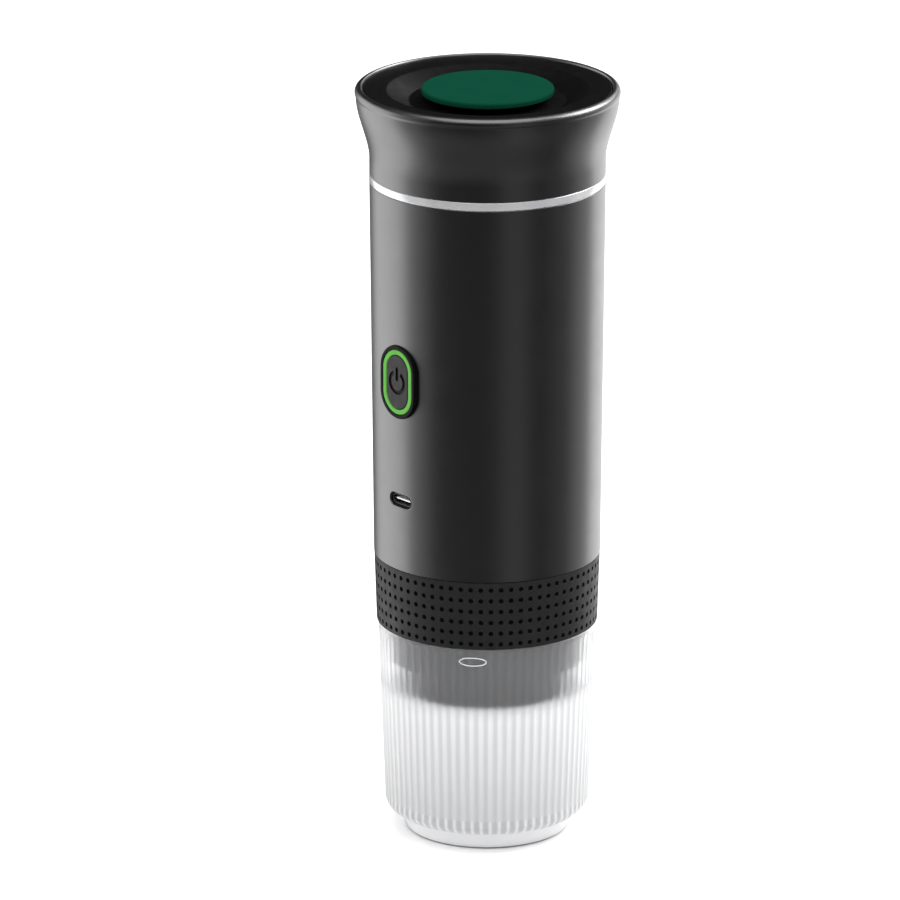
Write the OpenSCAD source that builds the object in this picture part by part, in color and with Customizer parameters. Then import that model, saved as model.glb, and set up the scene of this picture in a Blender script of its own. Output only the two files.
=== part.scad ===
// Portable electric espresso maker: a flared body over a capsule brew head and a ribbed cup.
// Millimetres. The origin is the centre of the foot on the table, +Z is up and the front is -Y.

/* [Heights] */
// Height of the cup from its foot to its rim
cup_h = 68.7; // [62:0.1:76]
// Height of the dotted grip ring
grip_h = 22; // [20:0.5:28]
// Height of the main shell between the grip and the trim ring
body_h = 120; // [114:0.5:140]
// Height of the bright trim ring
trim_h = 2.6; // [1.5:0.1:5]
// Height of the flared collar above the trim ring
collar_h = 27.5; // [27:0.5:36]

/* [Outer radii] */
// Cup radius where the wall leaves the rounded shoulder
cup_low_r = 32.1; // [31:0.1:33]
// Cup radius at the rim
cup_top_r = 34.2; // [33.8:0.1:36]
// Grip radius at its lower edge
grip_low_r = 34.7; // [34.3:0.1:37]
// Grip radius at its upper edge
grip_top_r = 35.4; // [34.8:0.1:38]
// Main shell radius at its upper edge
body_top_r = 36.7; // [36:0.1:39]
// How much smaller the main shell radius is at its lower edge
body_taper = 1.2; // [0.6:0.1:1.6]
// Collar radius at the widest part of the rim
rim_r = 41.2; // [39.5:0.1:42]

/* [Shell and collar] */
// Least wall of the main shell at its lower edge
shell_wall = 1.8; // [1.2:0.1:2.2]
// Least wall of the main shell and the trim ring at the upper edge
top_wall = 3; // [2:0.1:3.4]
// Height and width of the lip inside the lower edge of the shell
shell_lip = 1.2; // [0.8:0.1:2]
// Chamfer on the visible edges of the shell parts
edge = 0.4; // [0.1:0.05:0.6]
// Straight height of the collar below the start of its flare
flare_start = 4.7; // [2:0.1:8]
// Width of the rounded lip at the top of the collar
lip_w = 2.4; // [1.4:0.1:3]
// Height of the outer rounding of the lip
lip_round = 1.8; // [1.5:0.1:4]
// Depth of the collar skirt inside the main shell
skirt_h = 8; // [4:0.5:10]

/* [Water tank] */
// Gap from the shell bore to the inside of the tank wall
tank_inset = 3.2; // [2.9:0.1:4.5]
// Wall of the tank
tank_wall = 1.4; // [1:0.1:1.5]
// Thickness of the tank floor
tank_floor_t = 1.8; // [1:0.1:3]
// Height of the tank ledge above the lower edge of the collar
ledge_up = 12; // [9:0.5:14]
// Width of the tank flange beyond the tank wall
flange_w = 2.2; // [1.5:0.1:2.6]
// Thickness of the tank flange
flange_t = 1.6; // [1:0.1:3]
// Thickness of the flat gasket under the tank flange
tank_gasket_t = 1; // [0.6:0.1:2]
// Radius of the strainer disc on the tank floor
filter_r = 5; // [4:0.1:6]
// Thickness of the strainer disc
filter_t = 0.8; // [0.5:0.1:1.5]

/* [Lid] */
// Drop of the lid edge below the crest of the rim
lid_drop = 0.7; // [0.3:0.1:1.5]
// Thickness of the lid at its outer edge
lid_edge_t = 2.4; // [1.8:0.1:3]
// Width of the nearly flat outer band of the lid
band_w = 7.15; // [5:0.05:8]
// Fall of the outer band from its outer to its inner edge
band_fall = 0.4; // [0.1:0.1:0.8]
// Width of the sloping side of the dish
slope_w = 7; // [5:0.1:8]
// Fall of the sloping side of the dish
slope_fall = 3.3; // [2.6:0.1:4]
// Thickness of the dish
dish_t = 2; // [1.2:0.1:2.4]
// Depth of the lid plug below the crest of the rim
plug_depth = 24; // [21:0.5:28]
// Wall of the lid plug
plug_wall = 1.8; // [1.4:0.1:2.4]
// Thickness of the plate that closes the plug
plug_base_t = 2; // [1.2:0.1:3]
// Height of the lip seal round the plug
lid_seal_h = 3; // [2:0.1:5]
// Radius of the round disc on the lid
disc_r = 20.6; // [18:0.1:22]
// Thickness of the round disc
disc_t = 1.9; // [1.4:0.1:2.4]
// Drop of the top of the disc below the crest of the rim
disc_drop = 0.3; // [0.1:0.1:1]
// Press travel of the disc
disc_travel = 1.2; // [0.5:0.1:1.4]
// Radius of the step under the disc
disc_step_r = 16.5; // [10:0.5:17.5]
// Radius of the vent stem
stem_r = 2; // [1.5:0.1:2.5]
// Radius of the vent valve
valve_r = 6; // [5:0.1:8]
// Thickness of the vent valve
valve_t = 1.6; // [1:0.1:2.5]
// Inner radius of the spring well
well_r = 6.2; // [5.8:0.1:8]
// Depth of the spring well below the dish floor
well_depth = 9; // [8:0.5:12]
// Coil radius of the vent spring
spring_r = 4.2; // [3.6:0.1:4.6]
// Wire radius of the vent spring
wire_r = 0.4; // [0.3:0.05:0.45]
// Turns of the vent spring
spring_turns = 5; // [3:1:6]

/* [Button and port] */
// Height of the button centre above the lower edge of the shell
button_up = 61.5; // [55:0.1:70]
// Width of the button bezel
bezel_w = 16.4; // [15.4:0.1:18]
// Height of the button bezel
bezel_h = 23.6; // [22.6:0.1:26]
// Height of the flat bezel face above the shell on the centre line
bezel_proud = 0.7; // [0.3:0.1:1.5]
// Depth of the bezel
bezel_depth = 5; // [4:0.1:6]
// Width of the frame round the light ring
bezel_frame = 1.4; // [1:0.1:1.8]
// Width of the light ring stroke
ring_stroke = 1.6; // [1.2:0.1:2]
// Setback of the light ring behind the bezel face
ring_setback = 0.15; // [0.05:0.05:0.5]
// Thickness of the button cap
cap_t = 2.6; // [2:0.1:3.5]
// Press travel of the button
button_travel = 0.8; // [0.4:0.1:1.2]
// Outer radius of the power symbol
symbol_r = 3.9; // [2:0.1:4.4]
// Line width of the power symbol
symbol_line = 1; // [0.5:0.1:1.2]
// Depth of the power symbol
symbol_depth = 0.4; // [0.2:0.1:0.8]
// Height of the charging port above the lower edge of the shell
port_up = 22.9; // [19:0.1:30]
// Width of the charging port cut-out
port_w = 10.2; // [9.8:0.1:12]
// Height of the charging port cut-out
port_h = 4.2; // [4:0.1:6]
// Depth from the shell surface to the port liner
port_setback = 0.5; // [0.3:0.1:0.9]

/* [Power pack] */
// Radius of one battery cell
cell_r = 9.2; // [8.8:0.1:9.3]
// Length of one battery cell
cell_len = 65; // [60:0.5:70]
// Gap from the cells to the collar round the motor
cell_gap = 0.6; // [0.3:0.1:1.2]
// Thickness of the battery link strips
link_t = 0.3; // [0.2:0.05:0.4]
// Width of the battery link strips
link_w = 6; // [4:0.5:8]
// Thickness of the deck under the cells
deck_t = 3; // [2.6:0.1:4]
// Thickness of the cap over the cells
pack_cap_t = 3; // [2.6:0.1:4]
// Depth of the cell pockets in deck and cap
pocket_d = 0.6; // [0.5:0.1:0.9]
// Distance of the control board from the shell bore
board_inset = 7.2; // [6.6:0.1:8]
// Width of the control board
board_w = 19; // [18:0.5:20]
// Thickness of the control board
board_t = 1.6; // [1:0.1:1.6]
// Radius of the tie screws
tie_r = 1.25; // [1:0.05:1.5]
// Radius of the standoffs
standoff_r = 2.9; // [2.5:0.1:3]

/* [Motor and pump] */
// Radius of the motor can
motor_r = 9.8; // [9:0.1:10.4]
// Length of the motor can
motor_len = 27; // [24:0.5:36]
// Wall of the motor can
can_wall = 0.8; // [0.6:0.1:1]
// Thickness of the motor end cap
motor_cap_t = 3.2; // [2:0.1:5]
// Radius of the motor shaft
shaft_r = 1; // [0.8:0.05:1.4]
// Module of the pump gears
gear_module = 0.8; // [0.75:0.01:0.85]
// Teeth on each pump gear
gear_teeth = 14; // [13:1:15]
// Face width of the pump gears
gear_w = 6; // [4:0.5:8]
// Wall round the pump gears
pump_wall = 4.1; // [3.8:0.1:4.6]
// Thickness of the pump roof
pump_roof = 3.1; // [2.6:0.1:4]
// Thickness of the pump cover
pump_cover_t = 2.4; // [2:0.1:4]
// Radius of the idler pin
idler_pin_r = 1.5; // [1.2:0.05:1.8]
// Radius of the pump screws
pump_screw_r = 1; // [0.8:0.05:1.2]

/* [Heater and pipes] */
// Radius of the heater block
heater_r = 21; // [20:0.1:23]
// Height of the heater block
heater_h = 8; // [7:0.5:12]
// Ring radius of the heating element
element_ring_r = 15; // [14.6:0.1:16]
// Tube radius of the heating element
element_r = 2.2; // [1.8:0.1:2.4]
// Gap between the heater block and the pump cover
pump_gap = 3.8; // [3.4:0.1:6]
// Bore radius of the feed hose
hose_bore_r = 2.45; // [2.2:0.05:2.8]
// Wall of the feed hose
hose_wall = 0.95; // [0.7:0.05:1.1]
// Radius of the water channels
channel_r = 1.3; // [1:0.05:1.4]
// Radius of the thermal cut-out
cutout_r = 4.5; // [3.5:0.1:5]
// Height of the thermal cut-out
cutout_h = 3.3; // [2:0.1:3.3]
// Radius of the wires
lead_r = 0.7; // [0.5:0.05:0.9]

/* [Brew head] */
// Thickness of the brew plate
plate_t = 3; // [2.6:0.1:5]
// Length of the bayonet spigot below the main shell
spigot_len = 11.8; // [10.6:0.1:13]
// Radius of the bayonet spigot
spigot_r = 28; // [27.6:0.1:28.2]
// Wall of the bayonet spigot
spigot_wall = 3.4; // [2.6:0.1:3.6]
// Reach of the bayonet lugs beyond the spigot
lug_reach = 1.6; // [1:0.1:1.7]
// Height of the bayonet lugs
lug_h = 2.8; // [2:0.1:3.2]
// Width of a bayonet lug in degrees
lug_angle = 24; // [16:1:30]
// Turn of the brew head in degrees
twist_angle = 45; // [30:1:50]
// Length of the water boss below the main shell
boss_len = 5.2; // [5:0.1:6]
// Radius of the piercing needle
needle_r = 1.6; // [1.2:0.1:2]
// Length of the piercing needle below the water boss
needle_len = 11; // [6:0.5:14]
// Thickness of the brew gasket
brew_gasket_t = 2.3; // [1.5:0.1:2.6]
// Wall of the grip sleeve at its lower edge
grip_wall = 2.9; // [2.4:0.1:3]
// Radius of the flange of the capsule basket
basket_flange_r = 20.8; // [20:0.1:21]
// Thickness of the flange of the capsule basket
basket_flange_t = 2.2; // [1.6:0.1:2.6]
// Inner radius at the mouth of the capsule basket
basket_top_r = 15.3; // [14.6:0.1:15.5]
// Inner radius at the floor of the capsule basket
basket_low_r = 12.2; // [11:0.1:13]
// Wall of the capsule basket
basket_wall = 1.3; // [0.9:0.1:1.5]
// Reach of the spout cover below the grip
head_drop = 23.2; // [21:0.1:26]
// Reach of the wide step of the spout cover below the grip
step_drop = 11.4; // [10:0.1:13]
// Outer radius of the narrow part of the spout cover
spout_cover_r = 25.2; // [24.6:0.1:25.4]
// Wall of the spout cover
spout_wall = 2; // [1.4:0.1:2.4]
// Bore radius of the spout
spout_r = 2.4; // [1.5:0.1:4]
// Tube radius of the cup seal
cup_seal_r = 0.8; // [0.6:0.05:0.9]

/* [Cup] */
// Radius of the foot of the cup
foot_r = 26.2; // [24:0.1:27.5]
// Height of the foot of the cup
foot_h = 5.5; // [4:0.1:8]
// Height of the rounded shoulder above the foot
shoulder_h = 4.8; // [3:0.1:6]
// Wall of the cup
cup_wall = 1.6; // [1.3:0.1:1.8]
// Thickness of the cup floor
cup_floor_t = 2; // [1.5:0.1:3]
// Width of the ring that the cup stands on
foot_ring_w = 2.6; // [2:0.1:4]
// Number of flutes round the cup
flute_count = 70; // [60:1:90]
// Radius of the cutter of one flute
flute_r = 0.85; // [0.6:0.05:0.85]
// Depth of one flute
flute_d = 0.4; // [0.2:0.05:0.5]
// Plain height under the rim of the cup
rim_plain = 2; // [1:0.1:3]
// Width of the oval mark on the cup
mark_w = 8.5; // [7:0.1:12]
// Height of the oval mark on the cup
mark_h = 2.6; // [2.4:0.1:4]
// Line width of the oval mark
mark_line = 0.4; // [0.3:0.05:0.8]
// Height of the oval mark above the cup wall
mark_proud = 0.35; // [0.2:0.05:0.6]
// Drop of the oval mark below the rim of the cup
mark_drop = 4; // [3:0.1:5]
// Turn of the oval mark from the front in degrees
mark_turn = 42; // [0:1:90]

/* [Clearances] */
// Gap between parts that lift apart, where they rest on each other
seat_gap = 0.2; // [0.1:0.05:0.3]
// Gap of parts that are pressed or bonded together
fit = 0.05; // [0.02:0.01:0.08]
// Radial gap of a shaft in its bearing
run_fit = 0.04; // [0.02:0.01:0.08]
// Gap of parts that slide in each other
slide_fit = 0.25; // [0.15:0.05:0.35]
// Thinning of each gear flank in degrees
backlash = 0.5; // [0.3:0.1:0.8]

/* [Hidden] */
$fn = 96;

// Reach of cutters past a face, and of joined shapes into each other
over = 1;

// Levels of the outside, from the table up
z_grip = cup_h + seat_gap;
z_grip_top = z_grip + grip_h;
z_body = z_grip_top + seat_gap;
z_trim = z_body + body_h;
z_collar = z_trim + trim_h;
z_rim = z_collar + collar_h;
z_button = z_body + button_up;
z_port = z_body + port_up;

// Radii of the shell at its lower edge and inside
body_low_r = body_top_r - body_taper;
bore_r = min(body_low_r - shell_wall, body_top_r - top_wall);

// Levels of the inside stack, from the brew plate up
z_plate = z_body + shell_lip;
z_heater = z_plate + plate_t;
z_heater_top = z_heater + heater_h;
z_cover = z_heater_top + pump_gap;
z_pump = z_cover + pump_cover_t;
gear_gap = 0.1;
z_roof = z_pump + gear_w + gear_gap;
z_deck = z_roof + pump_roof;
z_deck_top = z_deck + deck_t;
z_cell = z_deck_top - pocket_d + link_t;
z_cell_top = z_cell + cell_len;
z_cap = z_cell_top + link_t - pocket_d;
z_cap_top = z_cap + pack_cap_t;
tank_gap = 0.5;
z_tank = z_cap_top + tank_gap;
z_tank_floor = z_tank + tank_floor_t;

// Radius of the main shell outside at a height
function shell_r(z) = body_low_r + (body_top_r - body_low_r) * (z - z_body) / body_h;

// Collar and tank seat
lid_seat_r = rim_r - lip_w;
lip_inner_drop = 0.8;
flare_steps = 18;
z_flare = z_collar + flare_start;
z_wide = z_rim - lip_round;
z_skirt = z_trim - skirt_h;
skirt_r = bore_r - fit;
tank_r = bore_r - tank_inset;
tank_out_r = tank_r + tank_wall;
tank_hole_r = tank_out_r + seat_gap;
flange_r = tank_out_r + flange_w;
z_ledge = z_collar + ledge_up;
z_flange = z_ledge + tank_gasket_t;
z_lid_seat = z_rim - lid_drop - lid_edge_t - seat_gap;

// Lid
lid_r = lid_seat_r - slide_fit;
z_lid_top = z_rim - lid_drop;
z_lid_low = z_lid_seat + seat_gap;
band_r = lid_r - band_w;
slope_r = band_r - slope_w;
collar_bore_r = max(flange_r + 2 * seat_gap, band_r + slide_fit);
z_band = z_lid_top - band_fall;
z_dish = z_band - slope_fall;
plug_r = tank_r - 2 * slide_fit;
plug_in_r = plug_r - plug_wall;
z_plug = z_rim - plug_depth;
groove_d = 0.9;
seal_up = 1;
z_seal = z_plug + plug_base_t + seal_up;
z_well = z_dish - well_depth;
well_wall = 1.6;
z_disc_top = z_rim - disc_drop;
z_disc = z_disc_top - disc_t;
z_step = z_dish + disc_travel + seat_gap;
disc_boss_r = well_r - 2 * slide_fit;
boss_reach = 1;
z_boss_low = z_dish - disc_travel - boss_reach;
z_valve_top = z_plug - seat_gap / 2;
z_valve = z_valve_top - valve_t;
stem_head_t = 1.2;
vent_gap = 1.4;
vent_r = stem_r + vent_gap;

// Height of the top of the dish at a radius inside its outer band
function dish_z(r) = z_band - min(slope_w, max(0, band_r - r)) * slope_fall / slope_w;

// Front face of the button and the board behind it
y_face = -(shell_r(z_button) + bezel_proud);
ring_w = bezel_w - 2 * bezel_frame;
ring_h = bezel_h - 2 * bezel_frame;
y_board_front = -(bore_r - board_inset);
y_board_back = y_board_front + board_t;
led_t = 0.8;
led_w = 1.4;
switch_w = 6;
switch_t = 3.5;
y_switch = y_board_front - switch_t;
switch_bore_r = 2;
switch_floor = 1.2;
press_gap = 0.1;
y_stem_end = y_board_front - switch_floor - button_travel - press_gap;
y_port_face = -(shell_r(z_port) - port_setback);
usb_w = 8.94;
usb_h = 3.26;
usb_skin = 0.3;
tongue_w = 6.7;
tongue_t = 0.7;
usb_base_t = 2;
usb_setback = 0.4;
tongue_setback = 1;

// Places in plan
cell_angles = [90, 210, 330];
motor_collar_t = 1;
motor_collar_h = 3;
motor_collar_r = motor_r + fit + motor_collar_t;
cell_pitch_r = motor_collar_r + cell_gap + cell_r;
tie_angles = [0, 120, 240];
tie_inset = 4.7;
tie_pitch_r = bore_r - tie_inset;
tie_head_r = 2 * tie_r;
tie_head_t = 1.6;
tie_floor = 2;
post_r = 3.2;
deck_r = bore_r - 3 * fit;
deck_setback = 2.4;
deck_cut_y = y_board_back + deck_setback;
hose_out_r = hose_bore_r + hose_wall;
hose_angle = 30;
hose_inset = 9.7;
hose_pitch_r = bore_r - hose_inset;
hose_x = hose_pitch_r * cos(hose_angle);
hose_y = hose_pitch_r * sin(hose_angle);
hose_play = 0.6;
hose_hole_r = hose_out_r + hose_play;
nipple_r = hose_bore_r - fit;
nipple_len = 6;
rail_w = 4;
rail_x = board_w / 2 - rail_w;
rail_mid_x = rail_x + rail_w / 2;
board_below_port = 7;
board_above_heater = 3;
z_board = min(z_port - board_below_port, z_heater_top + board_above_heater);
z_board_top = z_cap - seat_gap;
board_screw_r = 0.95;
board_screw_bite = 3;
board_screw_up = 6;
board_screw_down = 9;
board_screw_z = [z_deck_top + board_screw_up, z_board_top - board_screw_down];
screw_hole_room = 0.5;
tab_end = [rail_x, y_board_back - board_t / 2];

// Gears
gear_a = gear_module * gear_teeth;
gear_tip_r = gear_a / 2 + gear_module;
gear_root_r = gear_a / 2 - 1.25 * gear_module;
pressure_angle = 25;
gear_base_r = gear_a / 2 * cos(pressure_angle);
cavity_r = gear_tip_r + run_fit;
pump_r = cavity_r + pump_wall;
pump_screw_off = (cavity_r + pump_r) / 2 * cos(45);
pump_screw_xy = [for (x = [-pump_screw_off, gear_a + pump_screw_off], s = [-1, 1])
    [x, s * pump_screw_off]];
pump_screw_bite = 1.8;
pump_screw_head_r = pump_screw_r + 0.9;
pump_screw_head_t = 1.5;
port_pocket_r = 2;
outlet_x = gear_a / 2;
outlet_y = -gear_tip_r;
link_nipple_wall = 0.5;
link_nipple_r = channel_r + link_nipple_wall;
link_nipple_len = (pump_gap - seat_gap) / 2;
arm_margin = 1;
arm_w = 2 * (hose_out_r + arm_margin);
cross_channel_step = 0.3;
cross_channel_r = channel_r - cross_channel_step;
seal_r = 3;
seal_t = 1.5;

// Motor
can_floor = 1.5;
z_motor_cap = z_deck_top + motor_len;
shaft_end = 1.5;
z_shaft_top = z_motor_cap + motor_cap_t + shaft_end;
magnet_t = 1.7;
magnet_r = motor_r - can_wall - fit;
air_gap = 0.35;
rotor_r = magnet_r - magnet_t - air_gap;
rotor_up = 3;
z_rotor = z_deck_top + can_floor + rotor_up;
brush_room = 6;
rotor_len = motor_len - can_floor - rotor_up - brush_room;

// Heater
element_gap = 0.1;
element_trench = element_r + element_gap;
pin_x = 4;
pin_y = -sqrt(element_ring_r * element_ring_r - pin_x * pin_x);
pin_top = 2;
heater_nipple_r = 3;
heater_nipple_len = 1.5;
seal_tube_r = 0.75;
seal_seat_r = heater_nipple_r + 2 * seal_tube_r + 2 * fit;
lead_bend_r = 2;

// Brew head
hub_r = basket_flange_r;
z_boss = z_body - boss_len;
z_gasket = z_boss - seat_gap / 2 - brew_gasket_t;
z_basket_top = z_gasket - seat_gap / 2;
z_basket_seat = z_basket_top - basket_flange_t;
z_spigot = z_body - spigot_len;
spigot_gap = 0.9;
z_socket = z_spigot - spigot_gap;
web_t = 3;
socket_r = spigot_r + slide_fit;
lug_r = spigot_r + lug_reach;
lug_slot_r = lug_r + slide_fit;
lug_play = 2;
lug_up = 1;
z_lug = z_spigot + lug_up;
sleeve_bore_r = grip_low_r - grip_wall;
housing_r = sleeve_bore_r - fit;
z_housing_top = z_grip_top - seat_gap;
z_spout = z_grip - head_drop;
spout_floor_up = 2.7;
spout_floor_t = 2.5;
z_spout_floor = z_spout + spout_floor_up + spout_floor_t;
z_step_low = z_grip - step_drop;
step_t = 2.4;
z_groove = z_step_low + step_t + seat_gap / 2;
seal_groove_h = 2 * cup_seal_r + seat_gap;
basket_floor_t = 1.5;
basket_gap = 0.5;
z_basket_floor = z_spout_floor + basket_gap + basket_floor_t;
chamber_r = basket_top_r + basket_wall + basket_gap;
chamber_wall = 1.8;
z_chamber = z_spout_floor + seat_gap / 2;
cover_screw_r = 1;
cover_screw_head_r = 1.7;
cover_screw_head_t = 1.3;
cover_screw_gap = 0.4;
cover_screw_bite = 6;
cover_screw_pitch_r = spout_cover_r + cover_screw_head_r + cover_screw_gap;
cover_screw_angles = [30, 150, 270];
cover_boss_r = 2.2;

// Cup
z_shoulder = foot_h + shoulder_h;
cup_slope = (cup_top_r - cup_low_r) / (cup_h - z_shoulder);
function cup_r(z) = cup_low_r + (z - z_shoulder) * cup_slope;
head_r = cup_r(z_step_low) - cup_wall - 2 * slide_fit;
head_wall = 2.4;
seal_sunk = 0.5;
groove_r = head_r - cup_seal_r - seal_sunk;
z_cup_floor = foot_h + cup_floor_t;

// Solid of revolution from points of radius and height
module lathe(points) {
    rotate_extrude() polygon(points);
}

// Plain ring between two radii and two heights
module ring(r_in, r_out, z0, z1) {
    rotate_extrude() translate([r_in, z0]) square([r_out - r_in, z1 - z0]);
}

// Upright bar at a place in plan
module peg(x, y, r, z0, z1) {
    translate([x, y, z0]) cylinder(r = r, h = z1 - z0);
}

// Bar along +Y from y0 to y1 at a place in the front view
module rod_y(x, z, r, y0, y1) {
    translate([x, y0, z]) rotate([-90, 0, 0]) cylinder(r = r, h = y1 - y0);
}

// Prism along Y with round ends, at height z, as wide as w and as tall as h
module obround_y(w, h, z, y0, y1) {
    tall = h > w;
    r = min(w, h) / 2;
    run = max(w, h) / 2 - r;
    dx = tall ? 0 : run;
    dz = tall ? run : 0;
    bx = tall ? 2 * r : 2 * run;
    bz = tall ? 2 * run : 2 * r;
    translate([-bx / 2, y0, z - bz / 2]) cube([bx, y1 - y0, bz]);
    for (s = [-1, 1]) rod_y(s * dx, z + s * dz, r, y0, y1);
}

// Tube with round ends along Y
module obround_tube_y(w, h, wall, z, y0, y1) {
    difference() {
        obround_y(w, h, z, y0, y1);
        obround_y(w - 2 * wall, h - 2 * wall, z, y0 - over, y1 + over);
    }
}

// Children placed at a polar place in plan
module polar(angle, r) {
    rotate([0, 0, angle]) translate([r, 0, 0]) children();
}

// Strip between two places in plan
module strip(a, b, w, z0, z1) {
    d = b - a;
    translate([a[0], a[1], z0]) rotate([0, 0, atan2(d[1], d[0])])
        translate([0, -w / 2, 0]) cube([norm(d), w, z1 - z0]);
}

function cell_xy(i) = cell_pitch_r * [cos(cell_angles[i]), sin(cell_angles[i])];

module main_shell() {
    color("#55565a") difference() {
        lathe([
            [bore_r - shell_lip, z_body],
            [body_low_r - edge, z_body],
            [body_low_r, z_body + edge],
            [body_top_r, z_trim - edge],
            [body_top_r - edge, z_trim],
            [bore_r, z_trim],
            [bore_r, z_plate],
            [bore_r - shell_lip, z_plate]
        ]);
        obround_y(bezel_w + 2 * fit, bezel_h + 2 * fit, z_button, -rim_r, -bore_r / 2);
        obround_y(port_w, port_h, z_port, -rim_r, -bore_r / 2);
    }
}

module trim_ring() {
    color("#d8d9da") lathe([
        [bore_r, z_trim],
        [body_top_r - edge, z_trim],
        [body_top_r, z_trim + edge],
        [body_top_r, z_collar - edge],
        [body_top_r - edge, z_collar],
        [bore_r, z_collar]
    ]);
}

// The flare is an S-curve, upright at both ends, and the lip is two quarter rounds
module top_collar() {
    flare = [for (i = [0 : flare_steps]) let (t = i / flare_steps)
        [body_top_r + (rim_r - body_top_r) * t * t * (3 - 2 * t), z_flare + (z_wide - z_flare) * t]];
    lip_outer = [for (a = [15 : 15 : 90])
        [rim_r - lip_w / 2 + lip_w / 2 * cos(a), z_wide + lip_round * sin(a)]];
    lip_inner = [for (a = [105 : 15 : 180])
        [rim_r - lip_w / 2 + lip_w / 2 * cos(a), z_rim - lip_inner_drop + lip_inner_drop * sin(a)]];
    color("#55565a") lathe(concat(
        [
            [tank_hole_r, z_skirt],
            [skirt_r, z_skirt],
            [skirt_r, z_collar],
            [body_top_r - edge, z_collar],
            [body_top_r, z_collar + edge]
        ],
        flare,
        lip_outer,
        lip_inner,
        [
            [lid_seat_r, z_lid_seat],
            [collar_bore_r, z_lid_seat],
            [collar_bore_r, z_ledge],
            [tank_hole_r, z_ledge]
        ]
    ));
}

module water_tank() {
    color("#3a3c3e") difference() {
        union() {
            lathe([
                [0, z_tank],
                [tank_out_r, z_tank],
                [tank_out_r, z_flange],
                [flange_r, z_flange],
                [flange_r, z_flange + flange_t],
                [tank_r, z_flange + flange_t],
                [tank_r, z_tank_floor],
                [0, z_tank_floor]
            ]);
            peg(hose_x, hose_y, nipple_r, z_tank - nipple_len, z_tank + tank_floor_t / 2);
        }
        peg(hose_x, hose_y, channel_r, z_tank - nipple_len - over, z_tank_floor + over);
    }
}

module tank_gasket() {
    color("#2a2a2a") ring(tank_hole_r + seat_gap, flange_r - seat_gap, z_ledge, z_flange);
}

// Steel strainer over the outlet of the tank
module tank_filter() {
    hole_r = 0.45;
    pitch = 1.6;
    color("#c4c6c8") difference() {
        peg(hose_x, hose_y, filter_r, z_tank_floor, z_tank_floor + filter_t);
        for (n = [1, 2]) {
            for (i = [0 : 6 * n - 1]) {
                translate([hose_x, hose_y, 0]) polar(60 / n * i, n * pitch)
                    peg(0, 0, hole_r, z_tank_floor - over, z_tank_floor + filter_t + over);
            }
        }
    }
}

module feed_hose() {
    color("#d9d4c8") translate([hose_x, hose_y, 0])
        ring(hose_bore_r, hose_out_r, z_deck + seat_gap, z_tank - seat_gap);
}

// Floor of the main body with the water boss, the bayonet spigot and the posts for the deck
module brew_plate() {
    color("#262729") difference() {
        union() {
            ring(needle_r + fit, deck_r, z_plate, z_heater);
            ring(needle_r + fit, hub_r, z_boss, z_plate);
            ring(spigot_r - spigot_wall, spigot_r, z_spigot, z_plate);
            for (a = [0 : 120 : 240]) rotate([0, 0, a - lug_angle / 2])
                rotate_extrude(angle = lug_angle) translate([spigot_r - over, z_lug])
                    square([lug_reach + over, lug_h]);
            for (a = tie_angles) polar(a, tie_pitch_r) peg(0, 0, post_r, z_plate, z_deck);
        }
        peg(0, 0, seal_seat_r, z_heater - heater_nipple_len - fit, z_heater + over);
        for (a = tie_angles) polar(a, tie_pitch_r)
            peg(0, 0, tie_r + fit, z_heater + tie_floor, z_deck + over);
    }
}

module piercing_needle() {
    tip_h = 3;
    jet_up = 1;
    bore = needle_r * 0.45;
    z_tip = z_boss - needle_len;
    color("#c9cbcd") difference() {
        lathe([
            [bore, z_tip],
            [needle_r, z_tip + tip_h],
            [needle_r, z_heater - heater_nipple_len - 2 * fit],
            [bore, z_heater - heater_nipple_len - 2 * fit]
        ]);
        rod_y(0, z_tip + tip_h + jet_up, bore, -needle_r - over, needle_r + over);
    }
}

module heater_block() {
    color("#b9bbbd") difference() {
        union() {
            peg(0, 0, heater_r, z_heater, z_heater_top);
            peg(0, 0, heater_nipple_r, z_heater - heater_nipple_len, z_heater + over);
            peg(outlet_x, outlet_y, link_nipple_r, z_heater_top - over, z_heater_top + link_nipple_len);
        }
        ring(element_ring_r - element_trench, element_ring_r + element_trench,
            z_heater_top - 2 * element_trench, z_heater_top + over);
        peg(outlet_x, outlet_y, channel_r, z_heater + heater_h / 4,
            z_heater_top + link_nipple_len + over);
        peg(0, 0, channel_r, z_heater - heater_nipple_len - over, z_heater + heater_h * 3 / 4);
        translate([0, 0, z_heater + heater_h / 2]) rotate([0, 0, atan2(outlet_y, outlet_x)])
            rotate([0, 90, 0]) cylinder(r = cross_channel_r, h = norm([outlet_x, outlet_y]));
    }
}

module heating_element() {
    z = z_heater_top - element_trench;
    color("#8d7a66") union() {
        rotate_extrude() translate([element_ring_r, z]) circle(r = element_r);
        for (s = [-1, 1]) peg(s * pin_x, pin_y, element_r / 2, z, z_heater_top + pin_top);
    }
}

module heater_seal() {
    color("#b4532e") rotate_extrude()
        translate([heater_nipple_r + fit + seal_tube_r, z_heater - heater_nipple_len + seal_tube_r])
            circle(r = seal_tube_r);
}

module thermal_cutout() {
    cutout_angle = 155;
    step_in = 1.8;
    step_down = 1;
    color("#cfc9b8") polar(cutout_angle, element_ring_r) union() {
        peg(0, 0, cutout_r, z_heater_top, z_heater_top + cutout_h - step_down);
        peg(0, 0, cutout_r - step_in, z_heater_top, z_heater_top + cutout_h);
    }
}

// Wire that rises from a place in plan, bends and runs forward to the back of the board
module lead(x, y, z0, z1) {
    peg(x, y, lead_r, z0, z1 - lead_bend_r);
    translate([x, y - lead_bend_r, z1 - lead_bend_r]) rotate([90, 0, 90])
        rotate_extrude(angle = 90) translate([lead_bend_r, 0]) circle(r = lead_r);
    rod_y(x, z1, lead_r, y_board_back, y - lead_bend_r);
}

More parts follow.
